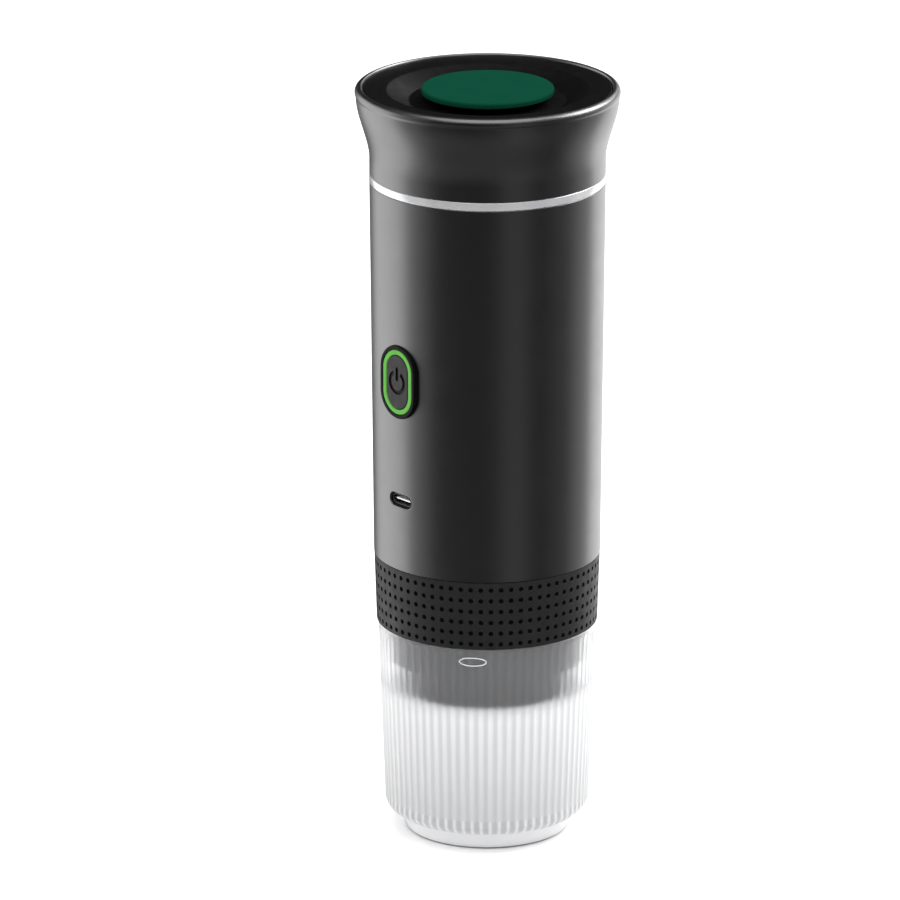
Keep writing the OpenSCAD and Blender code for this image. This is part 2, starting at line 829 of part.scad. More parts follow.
module wire_leads() {
    motor_lead_x = rail_mid_x - rail_w / 2 - 2 * lead_r;
    z_pin = z_heater_top + pin_top;
    z_motor = z_motor_cap + motor_cap_t;
    color("#a33329") for (s = [-1, 1]) {
        lead(s * pin_x, pin_y, z_pin, z_pin + 2 * lead_bend_r);
        lead(s * motor_lead_x, 0, z_motor, z_motor + 3 * lead_bend_r);
    }
}

module link_hose() {
    color("#d9d4c8") translate([outlet_x, outlet_y, 0])
        ring(link_nipple_r + fit, link_nipple_r + fit + hose_wall,
            z_heater_top + seat_gap, z_cover - seat_gap);
}

// Outline of the pump round both gears
module pump_outline(z0, z1) {
    for (x = [0, gear_a]) peg(x, 0, pump_r, z0, z1);
    translate([0, -pump_r, z0]) cube([gear_a, 2 * pump_r, z1 - z0]);
}

module pump_screw_holes(r, z0, z1) {
    for (p = pump_screw_xy) peg(p[0], p[1], r, z0, z1);
}

module pump_body() {
    inlet = [outlet_x, -outlet_y];
    hose = [hose_x, hose_y];
    run = hose - inlet;
    color("#4a4d52") difference() {
        union() {
            pump_outline(z_pump, z_deck);
            strip([gear_a, 0], hose, arm_w, z_pump, z_deck);
            peg(hose_x, hose_y, arm_w / 2, z_pump, z_deck);
            peg(hose_x, hose_y, nipple_r, z_deck - over, z_deck_top + nipple_len);
        }
        for (x = [0, gear_a]) peg(x, 0, cavity_r, z_pump - over, z_roof);
        for (y = [-1, 1]) peg(outlet_x, y * outlet_y, port_pocket_r, z_pump - over, z_roof);
        translate([inlet[0], inlet[1], z_pump + gear_w / 2]) rotate([0, 0, atan2(run[1], run[0])])
            rotate([0, 90, 0]) cylinder(r = cross_channel_r, h = norm(run));
        peg(hose_x, hose_y, channel_r, z_pump + gear_w / 4, z_deck_top + nipple_len + over);
        peg(0, 0, shaft_r + run_fit, z_roof - over, z_deck + over);
        peg(0, 0, seal_r, z_deck - seal_t, z_deck + over);
        peg(gear_a, 0, idler_pin_r, z_roof - over, z_roof + pump_roof / 2);
        pump_screw_holes(pump_screw_r + fit, z_pump - over, z_deck + over);
    }
}

module pump_cover() {
    color("#4a4d52") difference() {
        union() {
            pump_outline(z_cover, z_pump);
            peg(outlet_x, outlet_y, link_nipple_r, z_cover - link_nipple_len, z_cover + over);
        }
        peg(outlet_x, outlet_y, channel_r, z_cover - link_nipple_len - over, z_pump + over);
        peg(gear_a, 0, idler_pin_r, z_pump - pump_cover_t / 2, z_pump + over);
        pump_screw_holes(pump_screw_r + fit, z_cover - over, z_pump + over);
    }
}

module pump_screws() {
    color("#9a9c9e") for (p = pump_screw_xy) {
        peg(p[0], p[1], pump_screw_r, z_cover - pump_screw_head_t / 2, z_deck + pump_screw_bite);
        peg(p[0], p[1], pump_screw_head_r, z_cover - pump_screw_head_t, z_cover);
    }
}

module idler_pin() {
    color("#b8babc") peg(gear_a, 0, idler_pin_r, z_pump - pump_cover_t / 2, z_roof + pump_roof / 2);
}

module shaft_seal() {
    color("#2a2a2a") ring(shaft_r + run_fit, seal_r, z_deck - seal_t, z_deck);
}

// Deck that carries the motor, the cells and the rails for the control board
module chassis_deck() {
    rail_bite = 2;
    rail_d = deck_setback + rail_bite;
    color("#34363a") difference() {
        union() {
            difference() {
                peg(0, 0, deck_r, z_deck, z_deck_top);
                translate([-rim_r, -2 * rim_r, z_deck - over])
                    cube([2 * rim_r, 2 * rim_r + deck_cut_y, deck_t + 2 * over]);
            }
            ring(motor_r + fit, motor_collar_r, z_deck_top - over, z_deck_top + motor_collar_h);
            for (s = [-1, 1]) translate([s * rail_mid_x - rail_w / 2, y_board_back, z_deck])
                cube([rail_w, rail_d, z_cap - z_deck]);
        }
        for (i = [0 : 2]) translate(cell_xy(i))
            peg(0, 0, cell_r + fit, z_deck_top - pocket_d, z_deck_top + over);
        strip(cell_xy(1), cell_xy(2), link_w + 2 * fit, z_deck_top - pocket_d, z_deck_top + fit);
        peg(0, 0, seal_r, z_deck - over, z_deck_top + over);
        peg(hose_x, hose_y, hose_hole_r, z_deck - over, z_deck_top + over);
        for (a = tie_angles) polar(a, tie_pitch_r)
            peg(0, 0, tie_r + fit, z_deck - over, z_deck_top + over);
        pump_screw_holes(pump_screw_r, z_deck - over, z_deck + pump_screw_bite);
        for (s = [-1, 1], z = board_screw_z)
            rod_y(s * rail_mid_x, z, board_screw_r, y_board_back - over,
                y_board_back + board_screw_bite + screw_hole_room);
    }
}

module standoffs() {
    color("#c0a860") for (a = tie_angles) polar(a, tie_pitch_r)
        ring(tie_r + fit, standoff_r, z_deck_top, z_cap);
}

module tie_screws() {
    color("#9a9c9e") for (a = tie_angles) polar(a, tie_pitch_r) {
        peg(0, 0, tie_r, z_heater + tie_floor, z_cap_top - tie_head_t / 2);
        peg(0, 0, tie_head_r, z_cap_top - tie_head_t, z_cap_top);
    }
}

// One round cell with the crimp groove near its upper end
module battery_cell(i) {
    crimp_d = 0.5;
    crimp_down = 3.2;
    crimp_h = 1;
    z_crimp = z_cell_top - crimp_down;
    color("#2f6f9f") translate(cell_xy(i)) lathe([
        [0, z_cell],
        [cell_r - edge, z_cell],
        [cell_r, z_cell + edge],
        [cell_r, z_crimp - crimp_h],
        [cell_r - crimp_d, z_crimp],
        [cell_r, z_crimp + crimp_h],
        [cell_r, z_cell_top - edge],
        [cell_r - edge, z_cell_top],
        [0, z_cell_top]
    ]);
}

// Strips that join the cells: one below, one above, and one forward to the board
module battery_links() {
    color("#c8c9c4") {
        strip(cell_xy(1), cell_xy(2), link_w, z_cell - link_t, z_cell);
        strip(cell_xy(0), cell_xy(1), link_w, z_cell_top, z_cell_top + link_t);
        strip(cell_xy(2), tab_end, link_w, z_cell_top, z_cell_top + link_t);
    }
}

module battery_cap() {
    slot_run = 1.1;
    slot_end = slot_run * tab_end + (1 - slot_run) * cell_xy(2);
    slot_w = link_w + 2 * fit;
    color("#34363a") difference() {
        peg(0, 0, deck_r, z_cap, z_cap_top);
        for (i = [0 : 2]) translate(cell_xy(i))
            peg(0, 0, cell_r + fit, z_cap - over, z_cap + pocket_d);
        strip(cell_xy(0), cell_xy(1), slot_w, z_cap - over, z_cap + pocket_d);
        strip(cell_xy(2), slot_end, slot_w, z_cap - over, z_cap + pocket_d);
        peg(hose_x, hose_y, hose_hole_r, z_cap - over, z_cap_top + over);
        for (a = tie_angles) polar(a, tie_pitch_r) {
            peg(0, 0, tie_r + fit, z_cap - over, z_cap_top + over);
            peg(0, 0, tie_head_r + fit, z_cap_top - tie_head_t, z_cap_top + over);
        }
    }
}

module motor_can() {
    color("#a7a9ac") difference() {
        peg(0, 0, motor_r, z_deck_top, z_motor_cap);
        peg(0, 0, motor_r - can_wall, z_deck_top + can_floor, z_motor_cap + over);
        peg(0, 0, shaft_r + run_fit, z_deck_top - over, z_deck_top + can_floor + over);
    }
}

module motor_cap() {
    color("#1f2022") ring(shaft_r + run_fit, motor_r, z_motor_cap, z_motor_cap + motor_cap_t);
}

module motor_magnets() {
    arc = 140;
    color("#4a4744") for (a = [0, 180]) rotate([0, 0, a + 90 - arc / 2]) rotate_extrude(angle = arc)
        translate([magnet_r - magnet_t, z_rotor]) square([magnet_t, rotor_len]);
}

module motor_shaft() {
    color("#d0d2d4") peg(0, 0, shaft_r, z_pump + 2 * gear_gap, z_shaft_top);
}

// Three-pole armature with its commutator
module motor_rotor() {
    slot_w = 1.6;
    core_r = rotor_r / 2;
    commutator_wall = 1.5;
    color("#a5642c") difference() {
        union() {
            ring(shaft_r, rotor_r, z_rotor, z_rotor + rotor_len);
            ring(shaft_r, shaft_r + commutator_wall, z_rotor + rotor_len - over, z_motor_cap - seat_gap);
        }
        for (a = [0 : 120 : 240]) rotate([0, 0, a])
            translate([core_r, -slot_w / 2, z_rotor - over]) cube([rotor_r, slot_w, rotor_len + 2 * over]);
    }
}

// Half the angle of a tooth at a radius, from the involute of the base circle
function involute(a) = tan(a) * 180 / PI - a;
function tooth_half(r) = 90 / gear_teeth - backlash + involute(pressure_angle)
    - involute(acos(min(1, gear_base_r / r)));

// Points of one tooth, up one flank and down the other
function tooth(i) = let (
    turn = 360 / gear_teeth * i,
    low_r = max(gear_base_r, gear_root_r),
    steps = 4,
    radii = [for (k = [0 : steps]) low_r + (gear_tip_r - low_r) * k / steps],
    foot = gear_root_r < low_r ? [gear_root_r] : [],
    up = concat(foot, radii),
    down = [for (k = [len(up) - 1 : -1 : 0]) up[k]]
) concat(
    [for (r = up) r * [cos(turn - tooth_half(max(r, low_r))), sin(turn - tooth_half(max(r, low_r)))]],
    [for (r = down) r * [cos(turn + tooth_half(max(r, low_r))), sin(turn + tooth_half(max(r, low_r)))]]
);

module gear(bore) {
    outline = [for (i = [0 : gear_teeth - 1]) each tooth(i)];
    translate([0, 0, z_pump + gear_gap / 2]) difference() {
        linear_extrude(gear_w) polygon(outline);
        translate([0, 0, -1]) cylinder(r = bore, h = gear_w + 2);
    }
}

module drive_gear() {
    color("#c9b23c") gear(shaft_r);
}

// A gap of this gear faces a tooth of the drive gear
module idler_gear() {
    mesh_turn = gear_teeth % 2 == 0 ? 180 / gear_teeth : 0;
    color("#c9b23c") translate([gear_a, 0, 0]) rotate([0, 0, mesh_turn]) gear(idler_pin_r + run_fit);
}

module control_board() {
    color("#1e6b3a") difference() {
        translate([-board_w / 2, y_board_front, z_board]) cube([board_w, board_t, z_board_top - z_board]);
        for (s = [-1, 1], z = board_screw_z)
            rod_y(s * rail_mid_x, z, board_screw_r + fit, y_board_front - over, y_board_back + over);
    }
}

// Chip or block that stands on the front of the board: its width, height and thickness
module chip(x, z, size) {
    translate([x - size[0] / 2, y_board_front - size[2], z - size[1] / 2])
        cube([size[0], size[2], size[1]]);
}

// Lamps behind the light ring, then the controller, the coil, the capacitor and two switches
module board_parts() {
    mid_x = (ring_w - ring_stroke) / 2;
    mid_z = (ring_h - ring_stroke) / 2;
    driver = [5, 6, 1.2];
    driver_x = 4;
    driver_down = 16;
    controller = [7, 7, 1];
    controller_down = 8;
    coil = [6, 6, 3];
    coil_down = 5;
    capacitor_r = 2.4;
    capacitor_len = 5;
    capacitor_up = 7;
    color("#26272a") {
        for (s = [-1, 1]) {
            chip(s * mid_x, z_button, [led_w, led_w, led_t]);
            chip(0, z_button + s * mid_z, [led_w, led_w, led_t]);
            chip(s * driver_x, z_board_top - driver_down, driver);
        }
        chip(0, z_button - ring_h / 2 - controller_down, controller);
        chip(0, z_board_top - coil_down, coil);
        rod_y(0, z_port + capacitor_up, capacitor_r, y_board_front - capacitor_len, y_board_front);
    }
}

module board_screws() {
    head_r = 1.8;
    head_t = 1.3;
    color("#9a9c9e") for (s = [-1, 1], z = board_screw_z) {
        x = s * rail_mid_x;
        rod_y(x, z, board_screw_r, y_board_front - head_t / 2, y_board_back + board_screw_bite);
        rod_y(x, z, head_r, y_board_front - head_t, y_board_front);
    }
}

// Push switch on the board, with the bore that the button stem enters
module button_switch() {
    color("#2b2c2e") difference() {
        chip(0, z_button, [switch_w, switch_w, switch_t]);
        rod_y(0, z_button, switch_bore_r, y_switch - over, y_board_front - switch_floor);
    }
}

module light_ring() {
    color("#69c34b") obround_tube_y(ring_w - 2 * fit, ring_h - 2 * fit, ring_stroke - fit, z_button,
        y_face + ring_setback, y_board_front - led_t - fit);
}

module button_bezel() {
    color("#17181a") obround_tube_y(bezel_w, bezel_h, bezel_frame, z_button, y_face, y_face + bezel_depth);
}

// Ring with a gap at the top and a bar in the gap, sunk into the button face
module power_symbol() {
    gap = 64;
    mid_r = symbol_r - symbol_line / 2;
    translate([0, y_face - over, z_button]) rotate([-90, 0, 0]) {
        rotate([0, 0, -90 + gap / 2]) rotate_extrude(angle = 360 - gap)
            translate([mid_r - symbol_line / 2, 0]) square([symbol_line, symbol_depth + over]);
        translate([-symbol_line / 2, -symbol_r - symbol_line / 2, 0])
            cube([symbol_line, symbol_r, symbol_depth + over]);
    }
}

module power_button() {
    inset = ring_stroke + slide_fit / 2 + fit;
    color("#3b3b3c") difference() {
        union() {
            obround_y(ring_w - 2 * inset, ring_h - 2 * inset, z_button, y_face, y_face + cap_t);
            rod_y(0, z_button, switch_bore_r - slide_fit / 2, y_face + cap_t - over, y_stem_end);
        }
        power_symbol();
    }
}

module usb_shell() {
    color("#c9cbcd") obround_tube_y(usb_w, usb_h, usb_skin, z_port,
        y_port_face + usb_setback, y_board_front);
}

module usb_tongue() {
    y_base = y_board_front - usb_base_t;
    inner_w = usb_w - 2 * usb_skin - 2 * fit;
    inner_h = usb_h - 2 * usb_skin - 2 * fit;
    color("#202123") union() {
        obround_y(inner_w, inner_h, z_port, y_base, y_board_front);
        translate([-tongue_w / 2, y_port_face + tongue_setback, z_port - tongue_t / 2])
            cube([tongue_w, y_base - y_port_face, tongue_t]);
    }
}

module usb_liner() {
    liner_depth = 3;
    color("#141516") difference() {
        obround_y(port_w - 2 * fit, port_h - 2 * fit, z_port, y_port_face, y_port_face + liner_depth);
        obround_y(usb_w + 2 * fit, usb_h + 2 * fit, z_port,
            y_port_face - over, y_port_face + liner_depth + over);
    }
}

// Dish, plug with the seal groove, and spring well
module lid_dish() {
    stem_bore_r = stem_r + slide_fit;
    plug_top = dish_z(plug_in_r) - dish_t / 4;
    well_out_r = well_r + well_wall;
    color("#1c1d1f") union() {
        lathe([
            [well_r, z_dish],
            [slope_r, z_dish],
            [band_r, z_band],
            [lid_r - edge, z_lid_top],
            [lid_r, z_lid_top - edge],
            [lid_r, z_lid_low],
            [band_r, z_lid_low],
            [slope_r, z_dish - dish_t],
            [well_r, z_dish - dish_t]
        ]);
        lathe([
            [plug_in_r, z_plug],
            [plug_r, z_plug],
            [plug_r, z_seal],
            [plug_r - groove_d, z_seal],
            [plug_r - groove_d, z_seal + lid_seal_h],
            [plug_r, z_seal + lid_seal_h],
            [plug_r, plug_top],
            [plug_in_r, plug_top]
        ]);
        lathe([
            [stem_bore_r, z_well - well_wall],
            [well_out_r, z_well - well_wall],
            [well_out_r, z_dish - dish_t / 2],
            [well_r, z_dish - dish_t / 2],
            [well_r, z_well],
            [stem_bore_r, z_well]
        ]);
    }
}

module lid_base() {
    color("#1c1d1f") ring(vent_r, plug_in_r - fit, z_plug, z_plug + plug_base_t);
}

// Seal with two soft lips that lean on the tank wall
module lid_seal() {
    in_r = plug_r - groove_d + fit;
    lip_r = tank_r - slide_fit;
    z0 = z_seal + fit;
    h = lid_seal_h - 2 * fit;
    color("#3d3f41") lathe([
        [in_r, z0],
        [plug_r, z0],
        [lip_r, z0 + h / 4],
        [plug_r, z0 + h / 2],
        [lip_r, z0 + h * 3 / 4],
        [plug_r, z0 + h],
        [in_r, z0 + h]
    ]);
}

// Helix of round wire from the well floor to the boss of the disc
module lid_spring() {
    rings_per_turn = 16;
    sides = 6;
    count = spring_turns * rings_per_turn;
    z0 = z_well + wire_r + fit;
    z1 = z_boss_low - wire_r - fit;
    points = [for (i = [0 : count], k = [0 : sides - 1]) let (
        a = 360 * i / rings_per_turn,
        b = 360 * k / sides,
        r = spring_r + wire_r * cos(b)
    ) [r * cos(a), r * sin(a), z0 + (z1 - z0) * i / count + wire_r * sin(b)]];
    walls = [for (i = [0 : count - 1], k = [0 : sides - 1], half = [0, 1]) let (
        p = i * sides + k,
        q = i * sides + (k + 1) % sides
    ) half == 0 ? [p, p + sides, q + sides] : [p, q + sides, q]];
    start = [for (k = [1 : sides - 2]) [0, k, k + 1]];
    last = count * sides;
    end = [for (k = [1 : sides - 2]) [last, last + k + 1, last + k]];
    color("#b9bbbd") polyhedron(points, concat(walls, start, end));
}

module lid_disc() {
    round_r = disc_t * 0.45;
    top = [for (a = [0 : 15 : 90])
        [disc_r - round_r + round_r * cos(a), z_disc_top - round_r + round_r * sin(a)]];
    color("#14553f") difference() {
        lathe(concat(
            [
                [0, z_boss_low],
                [disc_boss_r, z_boss_low],
                [disc_boss_r, z_step],
                [disc_step_r, z_step],
                [disc_step_r, z_disc],
                [disc_r - edge, z_disc],
                [disc_r, z_disc + edge]
            ],
            top,
            [[0, z_disc_top]]
        ));
        peg(0, 0, stem_r, z_boss_low - over, z_step);
    }
}

module vent_stem() {
    color("#1c1d1f") union() {
        peg(0, 0, stem_r, z_valve - stem_head_t, z_step);
        peg(0, 0, vent_r, z_valve - stem_head_t, z_valve);
    }
}

module vent_valve() {
    color("#3d3f41") ring(stem_r, valve_r, z_valve, z_valve_top);
}

module brew_gasket() {
    color("#b4532e") ring(basket_top_r, hub_r - seat_gap / 2, z_gasket, z_gasket + brew_gasket_t);
}

module grip_sleeve() {
    color("#242527") lathe([
        [sleeve_bore_r, z_grip],
        [grip_low_r - edge, z_grip],
        [grip_low_r, z_grip + edge],
        [grip_top_r, z_grip_top - edge],
        [grip_top_r - edge, z_grip_top],
        [sleeve_bore_r, z_grip_top]
    ]);
}

// Socket for the spigot, seat for the basket and wall inside the cup, with bayonet slots
module brew_housing() {
    rim_in_r = basket_flange_r + slide_fit;
    rim_out_r = spigot_r - spigot_wall - 3 * slide_fit;
    slot_angle = lug_angle + 2 * lug_play;
    z_slot = z_lug - slide_fit;
    slot_h = lug_h + 2 * slide_fit;
    color("#8f9194") difference() {
        union() {
            lathe([
                [chamber_r, z_chamber],
                [chamber_r + chamber_wall, z_chamber],
                [chamber_r + chamber_wall, z_socket - web_t],
                [head_r - head_wall, z_socket - web_t],
                [head_r - head_wall, z_groove],
                [groove_r, z_groove],
                [groove_r, z_groove + seal_groove_h],
                [head_r, z_groove + seal_groove_h],
                [head_r, z_grip],
                [housing_r, z_grip],
                [housing_r, z_housing_top],
                [socket_r, z_housing_top],
                [socket_r, z_socket],
                [rim_out_r, z_socket],
                [rim_out_r, z_gasket + brew_gasket_t / 2],
                [rim_in_r, z_gasket + brew_gasket_t / 2],
                [rim_in_r, z_basket_seat],
                [chamber_r, z_basket_seat]
            ]);
            for (a = cover_screw_angles) polar(a, cover_screw_pitch_r)
                peg(0, 0, cover_boss_r, z_groove + seat_gap, z_socket - web_t / 2);
        }
        for (a = [0 : 120 : 240]) {
            rotate([0, 0, a - slot_angle / 2]) rotate_extrude(angle = slot_angle + lug_play)
                translate([socket_r - 2 * over, z_slot + slot_h / 2])
                    square([lug_slot_r + fit - socket_r + 2 * over, z_housing_top - z_slot]);
            rotate([0, 0, a - slot_angle / 2 - twist_angle])
                rotate_extrude(angle = slot_angle + twist_angle) translate([socket_r - over, z_slot])
                    square([lug_slot_r - socket_r + over, slot_h]);
        }
        for (a = cover_screw_angles) polar(a, cover_screw_pitch_r)
            peg(0, 0, cover_screw_r, z_groove - over, z_groove + cover_screw_bite + screw_hole_room);
    }
}

module spout_cover() {
    inner_r = spout_cover_r - spout_wall;
    tip_wall = 2;
    color("#9a9c9f") difference() {
        lathe([
            [spout_r, z_spout + edge],
            [spout_r + tip_wall, z_spout + edge],
            [spout_r + tip_wall, z_spout_floor - spout_floor_t],
            [inner_r, z_spout_floor - spout_floor_t],
            [inner_r, z_spout],
            [spout_cover_r - edge, z_spout],
            [spout_cover_r, z_spout + edge],
            [spout_cover_r, z_step_low],
            [head_r, z_step_low],
            [head_r, z_step_low + step_t],
            [inner_r, z_step_low + step_t],
            [inner_r, z_spout_floor],
            [spout_r, z_spout_floor]
        ]);
        for (a = cover_screw_angles) polar(a, cover_screw_pitch_r)
            peg(0, 0, cover_screw_r + fit, z_step_low - over, z_step_low + step_t + over);
    }
}

module cover_screws() {
    color("#9a9c9e") for (a = cover_screw_angles) polar(a, cover_screw_pitch_r) {
        peg(0, 0, cover_screw_r, z_step_low - cover_screw_head_t / 2, z_groove + cover_screw_bite);
        peg(0, 0, cover_screw_head_r, z_step_low - cover_screw_head_t, z_step_low);
    }
}

// Conical basket with drain holes and three spikes that open the capsule
module capsule_basket() {
    drain_r = 1.1;
    spike_ring_r = basket_low_r * 0.42;
    drain_ring_r = basket_low_r * 0.72;
    spike_r = 1.4;
    spike_tip_r = 0.1;
    spike_h = 4.5;
    spike_sunk = 0.5;
    color("#c4c6c8") difference() {
        union() {
            lathe([
                [0, z_basket_floor - basket_floor_t],
                [basket_low_r + basket_wall, z_basket_floor - basket_floor_t],
                [basket_top_r + basket_wall, z_basket_seat],
                [basket_flange_r, z_basket_seat],
                [basket_flange_r, z_basket_top],
                [basket_top_r, z_basket_top],
                [basket_low_r, z_basket_floor],
                [0, z_basket_floor]
            ]);
            for (a = [0 : 120 : 240]) polar(a, spike_ring_r) translate([0, 0, z_basket_floor - spike_sunk])
                cylinder(r1 = spike_r, r2 = spike_tip_r, h = spike_h);
        }
        for (a = [30 : 60 : 330]) polar(a, drain_ring_r)
            peg(0, 0, drain_r, z_basket_floor - basket_floor_t - over, z_basket_floor + over);
    }
}

module cup_seal() {
    color("#3d3f41") rotate_extrude()
        translate([groove_r + cup_seal_r, z_groove + seal_groove_h / 2]) circle(r = cup_seal_r);
}

// Thin raised oval outline that follows the cup wall
module cup_mark() {
    z = cup_h - mark_drop;
    reach = mark_h;
    low = z - reach;
    high = z + reach;
    rotate([0, 0, mark_turn]) intersection() {
        lathe([
            [cup_r(low) - cup_wall / 2, low],
            [cup_r(low) + mark_proud, low],
            [cup_r(high) + mark_proud, high],
            [cup_r(high) - cup_wall / 2, high]
        ]);
        obround_tube_y(mark_w, mark_h, mark_line, z, -rim_r, -cup_low_r / 2);
    }
}

module cup() {
    shoulder_w = cup_low_r - foot_r;
    foot_draft = 0.5;
    foot_step = 0.6;
    step_r = foot_r + foot_draft + foot_step;
    shoulder = [for (a = [-90 : 15 : 0])
        [step_r + (cup_low_r - step_r) * cos(a), z_shoulder + shoulder_h * sin(a)]];
    inner = [for (a = [0 : -15 : -90]) [foot_r - cup_wall + shoulder_w * cos(a),
        z_shoulder + (z_shoulder - z_cup_floor) * sin(a)]];
    tilt = atan(cup_slope);
    flute_len = (cup_h - rim_plain - foot_h) / cos(tilt);
    color("#e9eaea") union() {
        difference() {
            lathe(concat(
                [
                    [foot_r - foot_ring_w, 0],
                    [foot_r - edge, 0],
                    [foot_r, edge],
                    [foot_r + foot_draft, foot_h]
                ],
                shoulder,
                [
                    [cup_top_r, cup_h - edge],
                    [cup_top_r - edge, cup_h],
                    [cup_top_r - cup_wall, cup_h]
                ],
                inner,
                [
                    [0, z_cup_floor],
                    [0, foot_h / 2],
                    [foot_r - foot_ring_w, foot_h / 2]
                ]
            ));
            for (i = [0 : flute_count - 1]) rotate([0, 0, 360 / flute_count * i])
                translate([cup_r(foot_h) + flute_r - flute_d, 0, foot_h]) rotate([0, tilt, 0])
                    cylinder(r = flute_r, h = flute_len);
        }
        cup_mark();
    }
}

main_shell();
trim_ring();
top_collar();
water_tank();
tank_gasket();
tank_filter();
feed_hose();
brew_plate();
piercing_needle();
heater_block();
heating_element();
heater_seal();
thermal_cutout();
wire_leads();
link_hose();
pump_body();
pump_cover();
pump_screws();
idler_pin();
shaft_seal();
chassis_deck();
standoffs();
tie_screws();
battery_cell(0);  // battery_cell_1
battery_cell(1);  // battery_cell_2
battery_cell(2);  // battery_cell_3
battery_links();
battery_cap();
motor_can();
motor_cap();
motor_magnets();
control_board();
board_parts();
board_screws();
button_switch();
light_ring();
button_bezel();
usb_shell();
usb_tongue();
usb_liner();
motor_shaft();
motor_rotor();
drive_gear();
idler_gear();
power_button();
lid_dish();
lid_base();
lid_seal();
lid_spring();
lid_disc();
vent_stem();
vent_valve();
brew_gasket();
grip_sleeve();
brew_housing();
spout_cover();
cover_screws();
capsule_basket();
cup_seal();
cup();
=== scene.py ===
"""Looks of a portable electric espresso maker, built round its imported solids.

Sizes are millimetres and angles are degrees unless a comment says otherwise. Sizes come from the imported
solids where those hold them. Blender gets metres.
"""

import math

import bmesh
import bpy
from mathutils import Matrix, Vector
from mathutils.geometry import tessellate_polygon


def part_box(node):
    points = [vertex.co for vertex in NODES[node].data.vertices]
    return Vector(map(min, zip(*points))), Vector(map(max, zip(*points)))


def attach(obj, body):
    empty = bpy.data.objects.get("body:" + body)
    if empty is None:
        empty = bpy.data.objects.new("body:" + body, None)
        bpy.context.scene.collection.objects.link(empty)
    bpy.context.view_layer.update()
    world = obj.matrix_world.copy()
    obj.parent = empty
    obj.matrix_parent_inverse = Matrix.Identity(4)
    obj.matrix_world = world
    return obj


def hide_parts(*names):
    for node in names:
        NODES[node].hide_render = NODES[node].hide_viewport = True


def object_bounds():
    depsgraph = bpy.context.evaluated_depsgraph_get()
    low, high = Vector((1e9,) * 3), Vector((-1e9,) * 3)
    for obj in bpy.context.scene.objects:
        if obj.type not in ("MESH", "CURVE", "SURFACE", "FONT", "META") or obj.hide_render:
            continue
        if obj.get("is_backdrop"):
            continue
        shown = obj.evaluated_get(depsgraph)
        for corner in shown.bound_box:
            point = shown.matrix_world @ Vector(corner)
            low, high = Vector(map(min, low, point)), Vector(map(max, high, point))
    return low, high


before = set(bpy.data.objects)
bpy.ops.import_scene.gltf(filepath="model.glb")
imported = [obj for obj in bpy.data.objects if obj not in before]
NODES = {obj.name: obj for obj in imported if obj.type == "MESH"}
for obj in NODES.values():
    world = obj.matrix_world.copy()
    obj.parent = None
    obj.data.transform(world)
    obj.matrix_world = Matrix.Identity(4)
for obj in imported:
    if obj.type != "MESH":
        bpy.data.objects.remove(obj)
CAD_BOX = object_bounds()

# A millimetre and the welding distance in metres, and a full turn in radians
MM = 0.001
WELD = 1e-6
TURN = 2 * math.pi

# Camera, as it stands in the photograph
CAMERA_AZIMUTH = 49.7
CAMERA_ELEVATION = 17.3
CAMERA_DISTANCE = 2800
CAMERA_LENS = 358.04
AIM_UP = 123.3
AIM_LEFT = 11.65

# Floor, and brightness of the room as it is and in reflections
FLOOR_REACH = 6000
ROOM_WHITE = 1.1
ROOM_MIRRORED = 0.014

# Soft lights in metres and degrees: angle, distance, width, height, height of its aim, brightness, lift
SOFTBOXES = {
    "left_box": (-116, 0.95, 1.05, 1.8, -0.2, 1.28, 0),
    "left_fade": (-72, 1.2, 0.5, 2.4, 0.15, 0.22, 0),
    "right_box": (148, 0.95, 0.9, 1.0, -0.22, 1.62, 0),
    "right_fade": (108, 1.2, 0.7, 2.4, 0.15, 0.32, 0),
    "right_mid": (74, 1.4, 0.7, 2.4, 0.15, 0.062, 0),
    "front_fill": (26, 1.6, 0.7, 2.4, 0.2, 0.1, 0),
    "front_low": (0, 1.5, 3.0, 1.2, 0.15, 0.03, -32),
    "floor_glow": (0, 1.5, 3.0, 0.8, 0.15, 0.08, -48),
    "lid_glint": (152, 1.2, 0.5, 0.35, 0.2, 1.5, 24),
    "top_box": (0, 1.3, 1.6, 1.6, 0.2, 1.1, 75),
    "right_high": (112, 1.2, 0.9, 0.6, 0.2, 6.0, 36),
}

# Fineness of round forms, and the angle past which an edge stays sharp
COLUMNS = 192
CORNER_STEPS = 6
EDGE_STEPS = 4
SLOT_STEPS = 16
CREASE = 40

# Edges that several pieces share
FINE_EDGE = 0.3
SEAM_EDGE = 0.1

# How far from their ends and rims the solids are measured
PROBE = 1
RIM_PROBE = 1.5

# Main shell and its cut-outs, each in a window with columns to either side, a reach up and down, and rows
SHELL_LIP_PROBE = 0.6
SHELL_BORE_PROBE = 5
CUT_PLAY = 0.05
BEZEL_WINDOW = {"half": 9, "up": 14.5, "rows": 14}
PORT_WINDOW = {"half": 6, "up": 4.4, "rows": 6}
WINDOW_RINGS = 4
PORT_EDGE = 0.35

# Bright ring
TRIM_CROWN = 0.08
TRIM_ROUND = 3.0

# Collar
COLLAR_BODY_PROBE = 2
COLLAR_BORE_PROBE = 3
FLARE_START = 4.7
FLARE_STEPS = 40
LIP_WIDTH = 2.4
LIP_ROUND = 1.8
LIP_DROP = 1.1
LIP_UNDERCUT = 35
LIP_STEPS = 10
BEAD_STEPS = 6

# Lid
LID_BAND_W = 7.15
LID_BAND_ROUND = 1.6
LID_SLOPE_W = 7.0
LID_SLOPE_ROUND = 1.2
LID_FALL = 0.4
LID_EDGE = 0.35
LID_TOP_T = 0.8
LID_DISH_T = 2.0
PLUG_PROBE = 1.3
PLUG_EDGE = 0.4
SEAL_GROOVE = 0.9
WELL_R = 6.2
WELL_WALL = 1.6
WELL_DEPTH = 9.0

